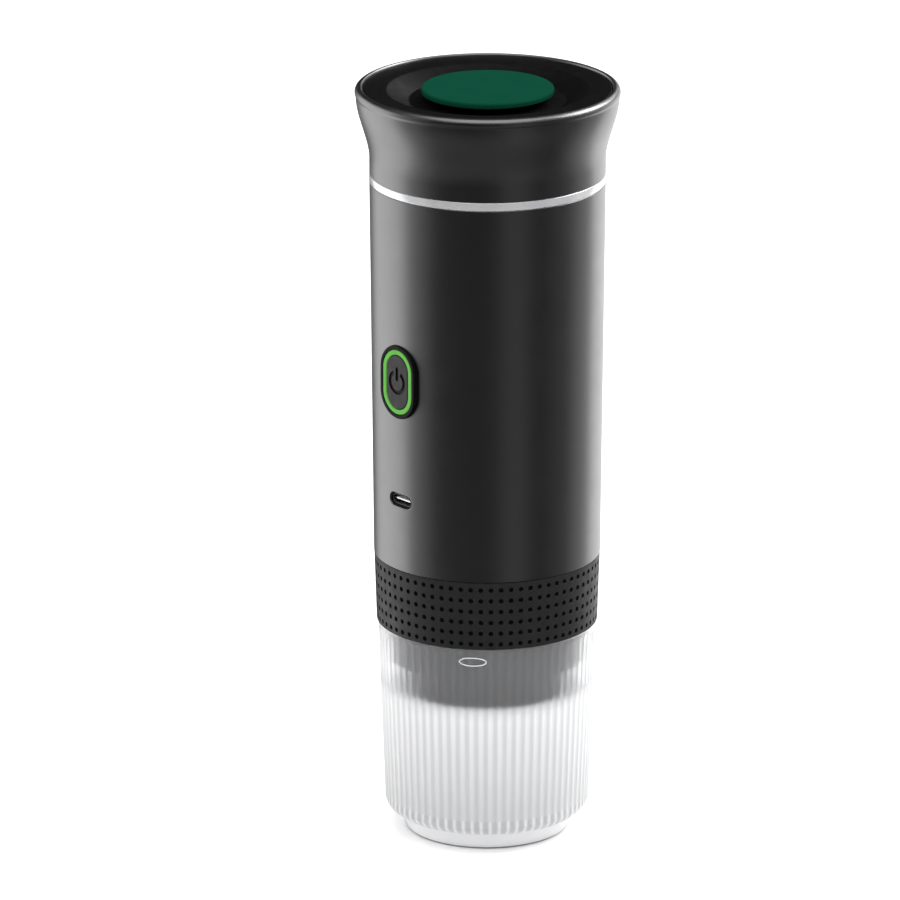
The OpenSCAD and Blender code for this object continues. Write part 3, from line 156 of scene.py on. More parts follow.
# Green disc
DISC_STEP_PROBE = 3
DISC_STEP_EDGE = 0.2
DISC_LOW_EDGE = 0.45
DISC_TOP_EDGE = 0.8

# Button
BEZEL_FRAME = 1.4
BEZEL_EDGE = 0.45
BEZEL_INNER_EDGE = 0.2
RING_STROKE = 1.55
RING_EDGE = 0.35
CAP_T = 2.6
CAP_INSET = 0.8
CAP_EDGE = 0.5
CAP_BACK_EDGE = 0.2
STEM_PROBE = 0.5
STEM_CHAMFER = 0.2
SYMBOL_R = 3.9
SYMBOL_LINE = 1.25
SYMBOL_DEPTH = 0.4
SYMBOL_GAP = 60
SYMBOL_STEPS = 40
SYMBOL_BAR = (0.4, 4.9)

# Charging port
LINER_CHAMFER = 0.12
SOCKET_SKIN = 0.3
SOCKET_EDGE = 0.1
TONGUE_W = 6.7
TONGUE_T = 0.7
TONGUE_BASE_T = 1.0
TONGUE_TIP_L = 0.3
TONGUE_TIP_NARROWING = 0.4
CONTACTS = 12
CONTACT_PITCH = 0.5
CONTACT_W = 0.28
CONTACT_L = 2.0
CONTACT_T = 0.03
CONTACT_BACK = 1.5

# Grip dots, with the bowl of a dot as shares of its radius and depth
DOT_COLUMNS = 70
DOT_ROWS = 6
DOT_PITCH = 3.57
DOT_FIRST = 1.8
DOT_R = 0.74
DOT_DEPTH = 0.95
DOT_SIDE = 4
DOT_BOWL = ((1.1, 0.0), (1.0, 0.08), (0.94, 0.4), (0.8, 0.8), (0.5, 0.98))

# Cup
FLUTES = 70
FLUTE_POINTS = 12
FLUTE_DEPTH = 0.32
FLUTE_TOP = 2.5
FLUTE_FADE = 1.2
CUP_WALL = 1.6
CUP_WALL_PROBE = 0.5
CUP_EDGE = 0.6
CUP_ROWS = 24
CUP_FLOOR = 7.5
CUP_HOLLOW = 2.75
RIM_ROWS = 4
RIM_ROW_H = 0.4
BOWL_STEPS = 8
FOOT_HEIGHT = 5.5
FOOT_SLANT = (0.5, 0.9)
FOOT_WALL = 2.6
FOOT_EDGE = 0.6
FOOT_SEAM = 0.1
SHOULDER_HEIGHT = 4.8
SHOULDER_STEPS = 12

# Oval outline on the cup
MARK_ANGLE = 42
MARK_SIZE = (8.5, 2.6)
MARK_LINE = 0.36
MARK_RISE = 0.12
MARK_DROP = 4.0
MARK_POINTS = 48
MARK_SIDES = 6

# Clearness of the cup below and above the heights between which it changes
CUP_CLEAR = (0.4, 0.945)
CUP_RAMP = (45.5, 50)

# Tones of the cup in the flutes and on the crests, and for the foot at the table and above it. The flute
# tones are darker as painted shade and the crest tones lighter as painted highlight; the band tone is a
# painted band of shade, and the foot's tone at the table is a painted shadow line
CUP_TONES = {
    "milky_low": ((195, 196, 197), (211, 211, 212)),
    "milky_high": ((210, 211, 212), (237, 237, 238)),
    "clear": ((232, 233, 234), (252, 252, 253)),
    "band": ((186, 187, 189), (230, 230, 231)),
    "foot": ((112, 113, 115), (251, 251, 252)),
}

# Heights between which one tone of the cup gives way to the next: the painted shadow line at the foot, the
# painted band of shade, and the milky tones
FOOT_SHADOW_LINE = (0.35, 0.65)
SHADE_BAND_START = (5.2, 5.6)
SHADE_BAND_END = (10.9, 11.5)
MILK_FADE = (14, 44)

# Where a flute's tone starts and ends its change to the crest's tone, as shares of a flute's width; this
# paints shade into the flutes and a highlight onto the crests
WIDE_CREST = (0.12, 0.36)
THIN_CREST = (0.2, 0.46)

# Part of a noise's range that is used
NOISE_RANGE = (0.3, 0.7)


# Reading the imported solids

def span(node):
    """Lowest and highest corner of a solid."""
    low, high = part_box(node)
    return low / MM, high / MM


def front_size(node):
    """Width, height and middle height of a solid as seen from the front."""
    low, high = span(node)
    return high.x - low.x, high.z - low.z, (low.z + high.z) / 2


def crossings(node, measure, value):
    """Points where the edges of a solid pass a value of a measure."""
    mesh = NODES[node].data
    points = [vertex.co / MM for vertex in mesh.vertices]
    levels = [measure(point) for point in points]
    found = []
    for edge in mesh.edges:
        a, b = edge.vertices
        if min(levels[a], levels[b]) <= value <= max(levels[a], levels[b]) and levels[a] != levels[b]:
            found.append(points[a].lerp(points[b], (value - levels[a]) / (levels[b] - levels[a])))
    return found


def off_axis(point):
    """Distance of a point from the upright axis."""
    return math.hypot(point.x, point.y)


def radii_at(node, z):
    """Least and greatest radius of a solid at a height."""
    radii = [off_axis(point) for point in crossings(node, lambda p: p.z, z)]
    return min(radii), max(radii)


def heights_at(node, r):
    """Least and greatest height of a solid at a radius."""
    heights = [point.z for point in crossings(node, off_axis, r)]
    return min(heights), max(heights)


# Building meshes

class Form:
    """Points in millimetres and faces of a mesh in the making."""

    def __init__(self):
        self.points = []
        self.faces = []
        self.paints = []

    def ring(self, points):
        """Adds points and returns their numbers."""
        start = len(self.points)
        self.points.extend(points)
        return list(range(start, len(self.points)))

    def face(self, corners, paint=0):
        """Adds a face with the paint of that number."""
        self.faces.append(corners)
        self.paints.append(paint)

    def band(self, a, b, paint=0):
        """Faces between two closed rings of points, where a ring of one point is a pole."""
        count = max(len(a), len(b))
        if count == 1:
            return
        for i in range(count):
            j = (i + 1) % count
            corners = [a[i % len(a)], a[j % len(a)], b[j % len(b)], b[i % len(b)]]
            self.face(list(dict.fromkeys(corners)), paint)

    def chain(self, rings, paint=0):
        """Faces along an open row of rings."""
        for a, b in zip(rings, rings[1:]):
            self.band(a, b, paint)

    def tube(self, rings):
        """Faces along a row of rings that closes on itself."""
        self.chain(rings + rings[:1])

    def fill(self, outlines, paint=0):
        """Triangles over an upright outline that faces the front, with further outlines as holes."""
        numbers = [number for outline in outlines for number in outline]
        loops = []
        for outline in outlines:
            corners = [self.points[number] for number in outline]
            loops.append([Vector((x, z, 0)) for x, _, z in corners])
        for triangle in tessellate_polygon(loops):
            self.face([numbers[corner] for corner in triangle], paint)


def piece(name, form, paints, body, nodes=(), even=True):
    """Makes the object of a form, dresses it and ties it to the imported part."""
    mesh = bpy.data.meshes.new(name)
    mesh.from_pydata([Vector(point) * MM for point in form.points], [], form.faces)
    for paint in paints:
        mesh.materials.append(paint)
    mesh.polygons.foreach_set("material_index", form.paints)
    shape = bmesh.new()
    shape.from_mesh(mesh)
    bmesh.ops.remove_doubles(shape, verts=shape.verts, dist=WELD)
    bmesh.ops.recalc_face_normals(shape, faces=shape.faces)
    shape.to_mesh(mesh)
    shape.free()
    mesh.shade_smooth()
    mesh.set_sharp_from_angle(angle=math.radians(CREASE))
    obj = bpy.data.objects.new(name, mesh)
    bpy.context.scene.collection.objects.link(obj)
    if even:
        normals = obj.modifiers.new("even_normals", "WEIGHTED_NORMAL")
        normals.keep_sharp = True
    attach(obj, body)
    if nodes:
        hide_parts(*nodes)


def quarter(steps, first=0):
    """Angles of a quarter turn in even steps, from the step of that number on."""
    return [TURN / 4 * k / steps for k in range(first, steps + 1)]


def circle(r, z, columns=COLUMNS):
    """Points of a level circle, or the one point on the axis."""
    if r == 0:
        return [(0, 0, z)]
    turns = [TURN * k / columns for k in range(columns)]
    return [(r * math.sin(turn), -r * math.cos(turn), z) for turn in turns]


def rounded(corners, steps=CORNER_STEPS):
    """Closed outline through (r, z) corners, with an arc where a corner brings a radius."""
    outline = []
    for i, corner in enumerate(corners):
        here = Vector(corner[:2])
        if len(corner) == 2:
            outline.append(tuple(here))
            continue
        before = Vector(corners[i - 1][:2]) - here
        after = Vector(corners[(i + 1) % len(corners)][:2]) - here
        half = before.angle(after) / 2
        reach = min(corner[2] / math.tan(half), before.length / 2, after.length / 2)
        middle = here + (before.normalized() + after.normalized()).normalized() * reach / math.cos(half)
        start = here + before.normalized() * reach - middle
        end = here + after.normalized() * reach - middle
        sweep = start.angle(end)
        for k in range(steps + 1):
            share = k / steps
            bend = start * math.sin((1 - share) * sweep) + end * math.sin(share * sweep)
            outline.append(tuple(middle + bend / math.sin(sweep)))
    return outline


def turned(outline):
    """Closed turned form of an (r, z) outline."""
    form = Form()
    form.tube([form.ring(circle(r, z)) for r, z in outline])
    return form


def obround(width, height, steps=SLOT_STEPS):
    """Points (x, z) round a slot with two round ends."""
    r = min(width, height) / 2
    run_x = max(width - height, 0) / 2
    run_z = max(height - width, 0) / 2
    points = []
    for corner in range(4):
        side_x = 1 if corner in (0, 3) else -1
        side_z = 1 if corner in (0, 1) else -1
        for k in range(steps + 1):
            turn = (corner + k / steps) * TURN / 4
            points.append((side_x * run_x + r * math.cos(turn), side_z * run_z + r * math.sin(turn)))
    return points


def obround_reach(dx, dz, width, height):
    """How many times a direction fits from the middle of an obround to its outline."""
    r = min(width, height) / 2
    along, across = (abs(dz), abs(dx)) if height > width else (abs(dx), abs(dz))
    run = abs(height - width) / 2
    if across > 0 and r / across * along <= run:
        return r / across
    square = along * along + across * across
    return (along * run + math.sqrt((along * run) ** 2 - square * (run * run - r * r))) / square


def slot_ring(form, width, height, y, z):
    """Adds an upright obround ring that faces the front."""
    return form.ring([(x, y, z + dz) for x, dz in obround(width, height)])


def hoop(sections, z):
    """Closed form through obround sections of (width, height, y)."""
    form = Form()
    form.tube([slot_ring(form, width, height, y, z) for width, height, y in sections])
    return form


def inset_sections(width, height, corners):
    """Sections of one obround from an outline of (inset, y) corners."""
    return [(width - 2 * inset, height - 2 * inset, y) for inset, y in rounded(corners, EDGE_STEPS)]


# Materials

def linear(red, green, blue):
    """Linear colour of an sRGB colour given in 0 to 255."""
    def channel(value):
        share = value / 255
        return share / 12.92 if share <= 0.04045 else ((share + 0.055) / 1.055) ** 2.4
    return channel(red), channel(green), channel(blue), 1.0


def scaled(colour, factor):
    """A linear colour made darker or lighter."""
    return tuple(min(part * factor, 1) for part in colour[:3]) + (1.0,)


class Paint:
    """A node material round one Principled shader."""

    def __init__(self, name, **settings):
        self.material = bpy.data.materials.new(name)
        self.material.use_nodes = True
        self.tree = self.material.node_tree
        self.shader = self.tree.nodes["Principled BSDF"]
        self.place = self.node("ShaderNodeTexCoord").outputs["Object"]
        for socket, value in settings.items():
            self.shader.inputs[socket.replace("_", " ")].default_value = value

    def node(self, kind, **inputs):
        """Adds a node and sets or links its inputs by name."""
        made = self.tree.nodes.new(kind)
        for key, value in inputs.items():
            self.put(made.inputs[key.replace("_", " ")], value)
        return made

    def put(self, socket, value):
        """Links an output to a socket, or sets the socket's value."""
        if isinstance(value, bpy.types.NodeSocket):
            self.tree.links.new(value, socket)
        else:
            socket.default_value = value

    def feed(self, name, value):
        """Links an output to an input of the shader."""
        self.tree.links.new(value, self.shader.inputs[name])

    def noise(self, size, detail=2.0):
        """Noise whose grains are about that many millimetres."""
        noise = self.node("ShaderNodeTexNoise", Vector=self.place, Scale=1 / (size * MM), Detail=detail)
        return noise.outputs["Fac"]

    def arithmetic(self, operation, value, number):
        """A value worked with a fixed number."""
        made = self.node("ShaderNodeMath")
        made.operation = operation
        self.put(made.inputs[0], value)
        made.inputs[1].default_value = number
        return made.outputs[0]

    def mapped(self, value, low, high, start, end):
        """A value brought from the range of start and end into that of low and high."""
        ranged = self.node("ShaderNodeMapRange", Value=value)
        for key, number in (("From Min", start), ("From Max", end), ("To Min", low), ("To Max", high)):
            ranged.inputs[key].default_value = number
        return ranged.outputs["Result"]

    def wander(self, size, low, high):
        """A value that wanders between low and high."""
        return self.mapped(self.noise(size), low, high, *NOISE_RANGE)

    def blend(self, share, first, second):
        """A colour between two, by share."""
        mix = self.tree.nodes.new("ShaderNodeMix")
        mix.data_type = "RGBA"
        self.put(mix.inputs[0], share)
        self.put(mix.inputs[6], first)
        self.put(mix.inputs[7], second)
        return mix.outputs[2]

    def mottle(self, colour, share, size):
        """Base colour that wanders by a share of itself."""
        drift = self.wander(size, 0, 1)
        spread = self.blend(drift, scaled(colour, 1 - share), scaled(colour, 1 + share))
        self.feed("Base Color", spread)
        return spread

    def gloss(self, rough, share, size):
        """Roughness that wanders by a share of itself."""
        self.feed("Roughness", self.wander(size, rough * (1 - share), min(rough * (1 + share), 1)))

    def grain(self, size, height):
        """Fine bumps of that size and height in millimetres."""
        bump = self.node("ShaderNodeBump", Height=self.noise(size, detail=3.0), Distance=height * MM)
        bump.inputs["Strength"].default_value = 1.0
        self.feed("Normal", bump.outputs["Normal"])


def finish(name, colour, rough, metal=0.0, mottle=(0.08, 6.0), uneven=(0.15, 3.0), grain=(0.3, 0.004),
           **settings):
    """Material with its own colour drift, uneven gloss and grain."""
    paint = Paint(name, Metallic=metal, **settings)
    paint.mottle(linear(*colour), *mottle)
    paint.gloss(rough, *uneven)
    paint.grain(*grain)
    return paint.material


def shell_paint():
    """Satin gunmetal lacquer with a fine metal flake."""
    paint = Paint("shell_paint_look", Metallic=1.0)
    base = linear(147, 147, 148)
    flake = paint.mapped(paint.noise(size=0.12, detail=1.0), 0, 1, start=0.35, end=0.65)
    paint.feed("Base Color", paint.blend(flake, scaled(base, factor=0.93), base))
    paint.gloss(rough=0.36, share=0.05, size=8.0)
    paint.grain(size=0.15, height=0.0004)
    return paint.material


def trim_metal():
    """Bright brushed metal of the ring."""
    paint = Paint("trim_metal_look", Metallic=0.62)
    paint.mottle(linear(226, 226, 228), share=0.03, size=12.0)
    paint.gloss(rough=0.22, share=0.08, size=9.0)
    paint.grain(size=1.5, height=0.0004)
    return paint.material


def lid_black():
    """Black moulded plastic with a soft sheen."""
    return finish("lid_black_look", (12, 12, 13), rough=0.42, grain=(0.25, 0.001), Specular_IOR_Level=0.17)


def disc_green():
    """Even green lacquer."""
    return finish("disc_green_look", (11, 58, 43), rough=0.6, mottle=(0.03, 9.0), grain=(0.2, 0.001),
                  Specular_IOR_Level=0.0)


def grip_rubber():
    """Matt black rubber with a fine skin."""
    return finish("grip_rubber_look", (29, 29, 30), rough=0.5, grain=(0.22, 0.006), Specular_IOR_Level=0.45)


def light_green():
    """Glowing green light guide."""
    paint = Paint("light_green_look", Emission_Strength=0.05, Specular_IOR_Level=0.2)
    paint.feed("Emission Color", paint.mottle(linear(82, 155, 57), share=0.05, size=3.0))
    paint.gloss(rough=0.5, share=0.15, size=3.0)
    paint.grain(size=0.3, height=0.004)
    return paint.material


def bezel_black():
    """Black plastic with a faint sheen."""
    return finish("bezel_black_look", (8, 8, 9), rough=0.45, Specular_IOR_Level=0.16)


def head_grey():
    """Dark grey plastic of the brew head."""
    return finish("head_grey_look", (42, 43, 45), rough=0.42, Specular_IOR_Level=0.2)


def frosted(name):
    """Frosted plastic, clear near the rim and milky below; returns the paint and its height output."""
    paint = Paint(name, IOR=1.2, Specular_IOR_Level=0.2, Sheen_Weight=0.45, Sheen_Roughness=0.4)
    height = paint.node("ShaderNodeSeparateXYZ", Vector=paint.place).outputs["Z"]
    start, end = CUP_RAMP
    paint.feed("Transmission Weight", paint.mapped(height, *CUP_CLEAR, start * MM, end * MM))
    paint.gloss(rough=0.31, share=0.04, size=5.0)
    paint.grain(size=0.12, height=0.001)
    return paint, height


def cup_inside():
    """Plain frosted inside of the cup."""
    paint, _ = frosted("cup_inside_look")
    paint.mottle(linear(251, 251, 252), share=0.01, size=4.0)
    return paint.material


def cup_frosted():
    """Frosted outside of the cup, greyer towards the foot, with painted shade in the flutes, a painted
    highlight on the crests, a painted band of shade low on the cup and a painted shadow line at the table.
    """
    paint, height = frosted("cup_frosted_look")
    sweep = paint.node("ShaderNodeTexGradient", Vector=paint.place)
    sweep.gradient_type = "RADIAL"
    count = paint.arithmetic("MULTIPLY", sweep.outputs["Fac"], FLUTES)
    flute = paint.arithmetic("PINGPONG", count, 0.5)
    wide_crest = paint.mapped(flute, 0, 1, *WIDE_CREST)
    thin_crest = paint.mapped(flute, 0, 1, *THIN_CREST)

    def risen(start, end):
        """Share that grows from 0 to 1 between two heights."""
        return paint.mapped(height, 0, 1, start * MM, end * MM)

    def tone(name, share):
        first, second = CUP_TONES[name]
        return paint.blend(share, linear(*first), linear(*second))

    milky = paint.blend(risen(*MILK_FADE), tone("milky_low", wide_crest), tone("milky_high", wide_crest))
    body = paint.blend(risen(*CUP_RAMP), milky, tone("clear", wide_crest))
    # Painted band of shade low on the cup, grey between its start and end heights
    upper = paint.blend(risen(*SHADE_BAND_END), tone("band", thin_crest), body)
    # Painted shadow line, dark grey where the foot meets the table
    foot = tone("foot", risen(*FOOT_SHADOW_LINE))
    paint.feed("Base Color", paint.blend(risen(*SHADE_BAND_START), foot, upper))
    return paint.material


# Finish of each slot that has no function of its own: colour, roughness, metal
PLAIN_FINISHES = {
    "tank_plastic": ((58, 60, 62), 0.35, 0.0),
    "seal_dark": ((44, 45, 46), 0.6, 0.0),
    "seal_red": ((150, 52, 40), 0.55, 0.0),
    "hose_silicone": ((214, 210, 200), 0.4, 0.0),
    "steel": ((176, 178, 180), 0.3, 1.0),
    "frame_plastic": ((52, 54, 58), 0.5, 0.0),
    "heater_alloy": ((170, 172, 174), 0.45, 1.0),
    "element_sheath": ((120, 112, 104), 0.4, 1.0),
    "cutout_body": ((196, 190, 178), 0.5, 0.0),
    "wire_cover": ((160, 50, 40), 0.45, 0.0),
    "pump_plastic": ((74, 77, 82), 0.45, 0.0),
    "standoff_brass": ((192, 168, 96), 0.35, 1.0),
    "cell_wrap": ((60, 110, 160), 0.4, 0.0),
    "nickel": ((205, 204, 200), 0.3, 1.0),
    "motor_steel": ((150, 152, 155), 0.35, 1.0),
    "magnet": ((70, 70, 74), 0.5, 0.3),
    "winding_copper": ((184, 110, 66), 0.35, 1.0),
    "board_laminate": ((28, 90, 60), 0.45, 0.0),
    "chip_black": ((30, 31, 33), 0.45, 0.0),
    "button_grey": ((46, 44, 45), 0.6, 0.0),
    "gear_plastic": ((222, 216, 200), 0.4, 0.0),
}
MATERIALS = {slot: finish(slot + "_look", *values) for slot, values in PLAIN_FINISHES.items()}
for make in (shell_paint, trim_metal, lid_black, disc_green, grip_rubber, light_green, bezel_black,
             head_grey, cup_frosted):
    MATERIALS[make.__name__] = make()

# Materials that only pieces of this script have
SYMBOL_BLACK = finish("symbol_black_look", (6, 6, 7), rough=0.6)
MARK_WHITE = finish("mark_white_look", (202, 203, 204), rough=0.4)
SOCKET_DARK = finish("socket_dark_look", (118, 119, 121), rough=0.5, metal=1.0)
# Near black inside the grip's dimples: painted shade
DOT_PAINTED_SHADE = finish("dot_painted_shade_look", (14, 14, 15), rough=0.8, Specular_IOR_Level=0.15)
# Near-white tongue of the port: painted highlight
TONGUE_PAINTED_HIGHLIGHT = finish("tongue_painted_highlight_look", (242, 242, 240), rough=0.35)
CUP_INSIDE = cup_inside()


# Shell, ring and collar

def cut_out(node, window, edge):
    """A hole of the shell round a node, with the window of the grid that it is cut from."""
    width, height, z = front_size(node)
    return {"width": width + 2 * CUT_PLAY, "height": height + 2 * CUT_PLAY, "z": z,
            "half": window["half"], "low": z - window["up"], "high": z + window["up"],
            "rows": window["rows"], "edge": edge}


def window_border(rings, hole):
    """Numbers of the points round the window of a hole."""
    half, first, last = hole["half"], hole["first"], hole["last"]
    border = [(first, side) for side in range(-half, half)]
    border += [(row, half) for row in range(first, last)]
    border += [(last, side) for side in range(half, -half, -1)]
    border += [(row, -half) for row in range(last, first, -1)]
    return [rings[row][side % COLUMNS] for row, side in border]


def hole_rim(form, on_wall, border, hole, edge):
    """Joins the window of a hole to its outline, rounded where it has an edge; returns the last ring."""
    ways = [(form.points[number][0], form.points[number][2] - hole["z"]) for number in border]

    def outline(grow, sunk):
        points = []
        for dx, dz in ways:
            reach = obround_reach(dx, dz, hole["width"] + 2 * grow, hole["height"] + 2 * grow)
            points.append(on_wall(dx * reach, hole["z"] + dz * reach, sunk))
        return points

    target = outline(edge, 0.0)
    chain = [border]
    for step in range(1, WINDOW_RINGS):
        share = step / WINDOW_RINGS
        chain.append(form.ring([
            on_wall(dx + (x - dx) * share, hole["z"] + dz + (z - hole["z"] - dz) * share, 0.0)
            for (dx, dz), (x, _, z) in zip(ways, target)]))
    chain.append(form.ring(target))
    if edge:
        for turn in quarter(EDGE_STEPS, 1):
            chain.append(form.ring(outline(edge * (1 - math.sin(turn)), edge * (1 - math.cos(turn)))))
    form.chain(chain)
    return chain[-1]


def windowed_wall(form, radius_at, levels, holes, with_edge):
    """Adds a turned wall with holes at the front; returns its end rings and the rings of the holes."""
    def on_wall(x, z, sunk):
        return x, sunk - math.sqrt(radius_at(z) ** 2 - x * x), z

    def in_window(column, row, hole):
        side = (column + COLUMNS // 2) % COLUMNS - COLUMNS // 2
        return -hole["half"] <= side < hole["half"] and hole["first"] <= row < hole["last"]

    for hole in holes:
        hole["first"] = levels.index(hole["low"])
        hole["last"] = levels.index(hole["high"])
    rings = [form.ring(circle(radius_at(z), z)) for z in levels]
    for row, (a, b) in enumerate(zip(rings, rings[1:])):
        for column in range(COLUMNS):
            after = (column + 1) % COLUMNS
            if not any(in_window(column, row, hole) for hole in holes):
                form.face([a[column], a[after], b[after], b[column]])
    rims = []
    for hole in holes:
        edge = hole["edge"] if with_edge else 0.0
        rims.append(hole_rim(form, on_wall, window_border(rings, hole), hole, edge))
    return rings[0], rings[-1], rims


def main_shell():
    """Painted tube with rounded ends and the cut-outs for the button and the port."""
    low, high = span("main_shell")
    lip_in = radii_at("main_shell", low.z + SHELL_LIP_PROBE)[0]
    bore = radii_at("main_shell", high.z - SHELL_BORE_PROBE)[0]
    r_low = radii_at("main_shell", low.z + PROBE)[1]
    r_high = radii_at("main_shell", high.z - PROBE)[1]
    lip_top = low.z + (bore - lip_in)
    form = Form()

    def outer(z):
        return r_low + (r_high - r_low) * (z - low.z) / (high.z - low.z)

    def end_edge(z_end, size, side):
        """Rings of a rounded end, where side is 1 at the top and -1 at the foot."""
        rings = []
        for turn in quarter(EDGE_STEPS, 1):
            r = outer(z_end) - size * (1 - math.cos(turn))
            rings.append(form.ring(circle(r, z_end - side * size * (1 - math.sin(turn)))))
        return rings

    holes = [cut_out("usb_liner", PORT_WINDOW, PORT_EDGE), cut_out("button_bezel", BEZEL_WINDOW, 0.0)]
    levels = []
    for hole in holes:
        step = (hole["high"] - hole["low"]) / hole["rows"]
        levels += [hole["low"] + step * k for k in range(hole["rows"])] + [hole["high"]]
    out_levels = [low.z + SEAM_EDGE] + levels + [high.z - FINE_EDGE]
    in_levels = [lip_top] + levels + [high.z]
    out_low, out_high, out_rims = windowed_wall(form, outer, out_levels, holes, True)
    in_low, in_high, in_rims = windowed_wall(form, lambda z: bore, in_levels, holes, False)
    for a, b in zip(out_rims, in_rims):
        form.band(a, b)
    top = end_edge(high.z, FINE_EDGE, 1)
    foot = end_edge(low.z, SEAM_EDGE, -1)
    inner_lip = [form.ring(circle(lip_in, z)) for z in (low.z, lip_top)]
    form.chain([out_high] + top + [in_high])
    form.chain([out_low] + foot + inner_lip + [in_low])
    piece("painted_shell", form, [MATERIALS["shell_paint"]], "body", ["main_shell"])


def trim_ring():
    """Bright ring between shell and collar, very slightly crowned."""
    low, high = span("trim_ring")
    z = (low.z + high.z) / 2
    inner, outer = radii_at("trim_ring", z)
    form = turned(rounded([
        (inner, low.z), (outer, low.z, FINE_EDGE), (outer + TRIM_CROWN, z, TRIM_ROUND),
        (outer, high.z, FINE_EDGE), (inner, high.z)]))
    piece("bright_ring", form, [MATERIALS["trim_metal"]], "body", ["trim_ring"])


def top_collar():
    """Flared collar: an S-curve that ends in a rounded lip."""
    low, high = span("top_collar")
    z_base = span("trim_ring")[1].z
    z_ledge = span("tank_gasket")[0].z
    hole, skirt = radii_at("top_collar", low.z + PROBE)
    body = radii_at("top_collar", z_base + COLLAR_BODY_PROBE)[1]
    bore = radii_at("top_collar", z_ledge + COLLAR_BORE_PROBE)[0]
    seat = high.x - LIP_WIDTH
    z_seat = heights_at("top_collar", (bore + seat) / 2)[1]
    z_flare = z_base + FLARE_START
    z_wide = high.z - LIP_ROUND
    crest = high.x - LIP_ROUND
    under = math.radians(LIP_UNDERCUT)
    neck = crest + LIP_ROUND * math.cos(under)
    z_neck = z_wide - LIP_ROUND * math.sin(under)
    flare = []
    for k in range(FLARE_STEPS + 1):
        t = k / FLARE_STEPS
        flare.append((body + (neck - body) * t * t * (3 - 2 * t), z_flare + (z_neck - z_flare) * t))
    bead = [under * (k / BEAD_STEPS - 1) for k in range(1, BEAD_STEPS + 1)]
    over = quarter(LIP_STEPS, 1)
    lip = [(crest + LIP_ROUND * math.cos(t), z_wide + LIP_ROUND * math.sin(t)) for t in bead + over]
    lip += [(crest - (crest - seat) * math.sin(t), high.z - LIP_DROP * (1 - math.cos(t))) for t in over]
    outline = [(hole, low.z), (skirt, low.z), (skirt, z_base)]
    base_edge = [(skirt, z_base), (body, z_base, FINE_EDGE), (body, z_base + COLLAR_BODY_PROBE)]
    outline += rounded(base_edge)[1:-1]
    outline += flare + lip
    outline += [(seat, z_seat), (bore, z_seat), (bore, z_ledge), (hole, z_ledge)]
    form = turned(outline)
    piece("flared_collar", form, [MATERIALS["shell_paint"]], "body", ["top_collar"])


# Lid

def lid_dish():
    """Black dished lid with its plug, seal groove and spring well."""
    low, high = span("lid_dish")
    seal_low, seal_high = span("lid_seal")
    rim = high.x
    band = rim - LID_BAND_W
    slope = band - LID_SLOPE_W
    z_dish = heights_at("lid_dish", (slope + WELL_R) / 2)[1]
    z_edge = heights_at("lid_dish", rim - RIM_PROBE)[0]
    z_well = z_dish - WELL_DEPTH
    z_under = z_dish - LID_DISH_T
    plug_in, plug = radii_at("lid_dish", low.z + PLUG_PROBE)
    groove = max(radii_at("lid_dish", (seal_low.z + seal_high.z) / 2)[0], plug - SEAL_GROOVE)
    bore = radii_at("lid_dish", z_well - WELL_WALL / 2)[0]
    form = turned(rounded([
        (bore, z_well - WELL_WALL), (bore, z_well), (WELL_R, z_well), (WELL_R, z_dish, FINE_EDGE),
        (slope, z_dish, LID_SLOPE_ROUND), (band, high.z - LID_FALL, LID_BAND_ROUND),
        (rim, high.z, LID_EDGE), (rim, z_edge, FINE_EDGE),
        (plug, z_edge), (plug, seal_high.z + CUT_PLAY), (groove, seal_high.z + CUT_PLAY),
        (groove, seal_low.z - CUT_PLAY), (plug, seal_low.z - CUT_PLAY), (plug, low.z, PLUG_EDGE),
        (plug_in, low.z), (plug_in, z_edge - LID_TOP_T), (slope, z_under), (WELL_R + WELL_WALL, z_under),
        (WELL_R + WELL_WALL, z_well - WELL_WALL)]))
    piece("dished_lid", form, [MATERIALS["lid_black"]], "lid", ["lid_dish"])


def lid_disc():
    """Round green disc with a step and the boss that takes the stem."""
    low, high = span("lid_disc")
    rim = high.x
    z_disc = heights_at("lid_disc", rim - RIM_PROBE)[0]
    bore, boss = radii_at("lid_disc", low.z + PROBE)
    z_step = heights_at("lid_disc", boss + DISC_STEP_PROBE)[0]
    step = radii_at("lid_disc", (z_step + z_disc) / 2)[1]
    form = turned(rounded([
        (0, z_step), (bore, z_step), (bore, low.z), (boss, low.z, FINE_EDGE), (boss, z_step, FINE_EDGE),
        (step, z_step, FINE_EDGE), (step, z_disc, DISC_STEP_EDGE), (rim, z_disc, DISC_LOW_EDGE),
        (rim, high.z, DISC_TOP_EDGE), (0, high.z)]))
    piece("green_disc", form, [MATERIALS["disc_green"]], "lid_button", ["lid_disc"])


# Button

def button_bezel():
    """Black frame with a rounded outer edge."""
    low, high = span("button_bezel")
    width, height, z = front_size("button_bezel")
    form = hoop(inset_sections(width, height, [
        (0, high.y), (0, low.y, BEZEL_EDGE), (BEZEL_FRAME, low.y, BEZEL_INNER_EDGE),
        (BEZEL_FRAME, high.y)]), z)
    piece("button_frame", form, [MATERIALS["bezel_black"]], "body", ["button_bezel"])


def light_ring():
    """Light guide round the button, flush with its frame."""
    y_back = span("light_ring")[1].y
    y_front = span("button_bezel")[0].y
    width, height, z = front_size("light_ring")
    form = hoop(inset_sections(width, height, [
        (0, y_back), (0, y_front, RING_EDGE), (RING_STROKE, y_front, RING_EDGE), (RING_STROKE, y_back)]), z)
    piece("glow_ring", form, [MATERIALS["light_green"]], "body", ["light_ring"])


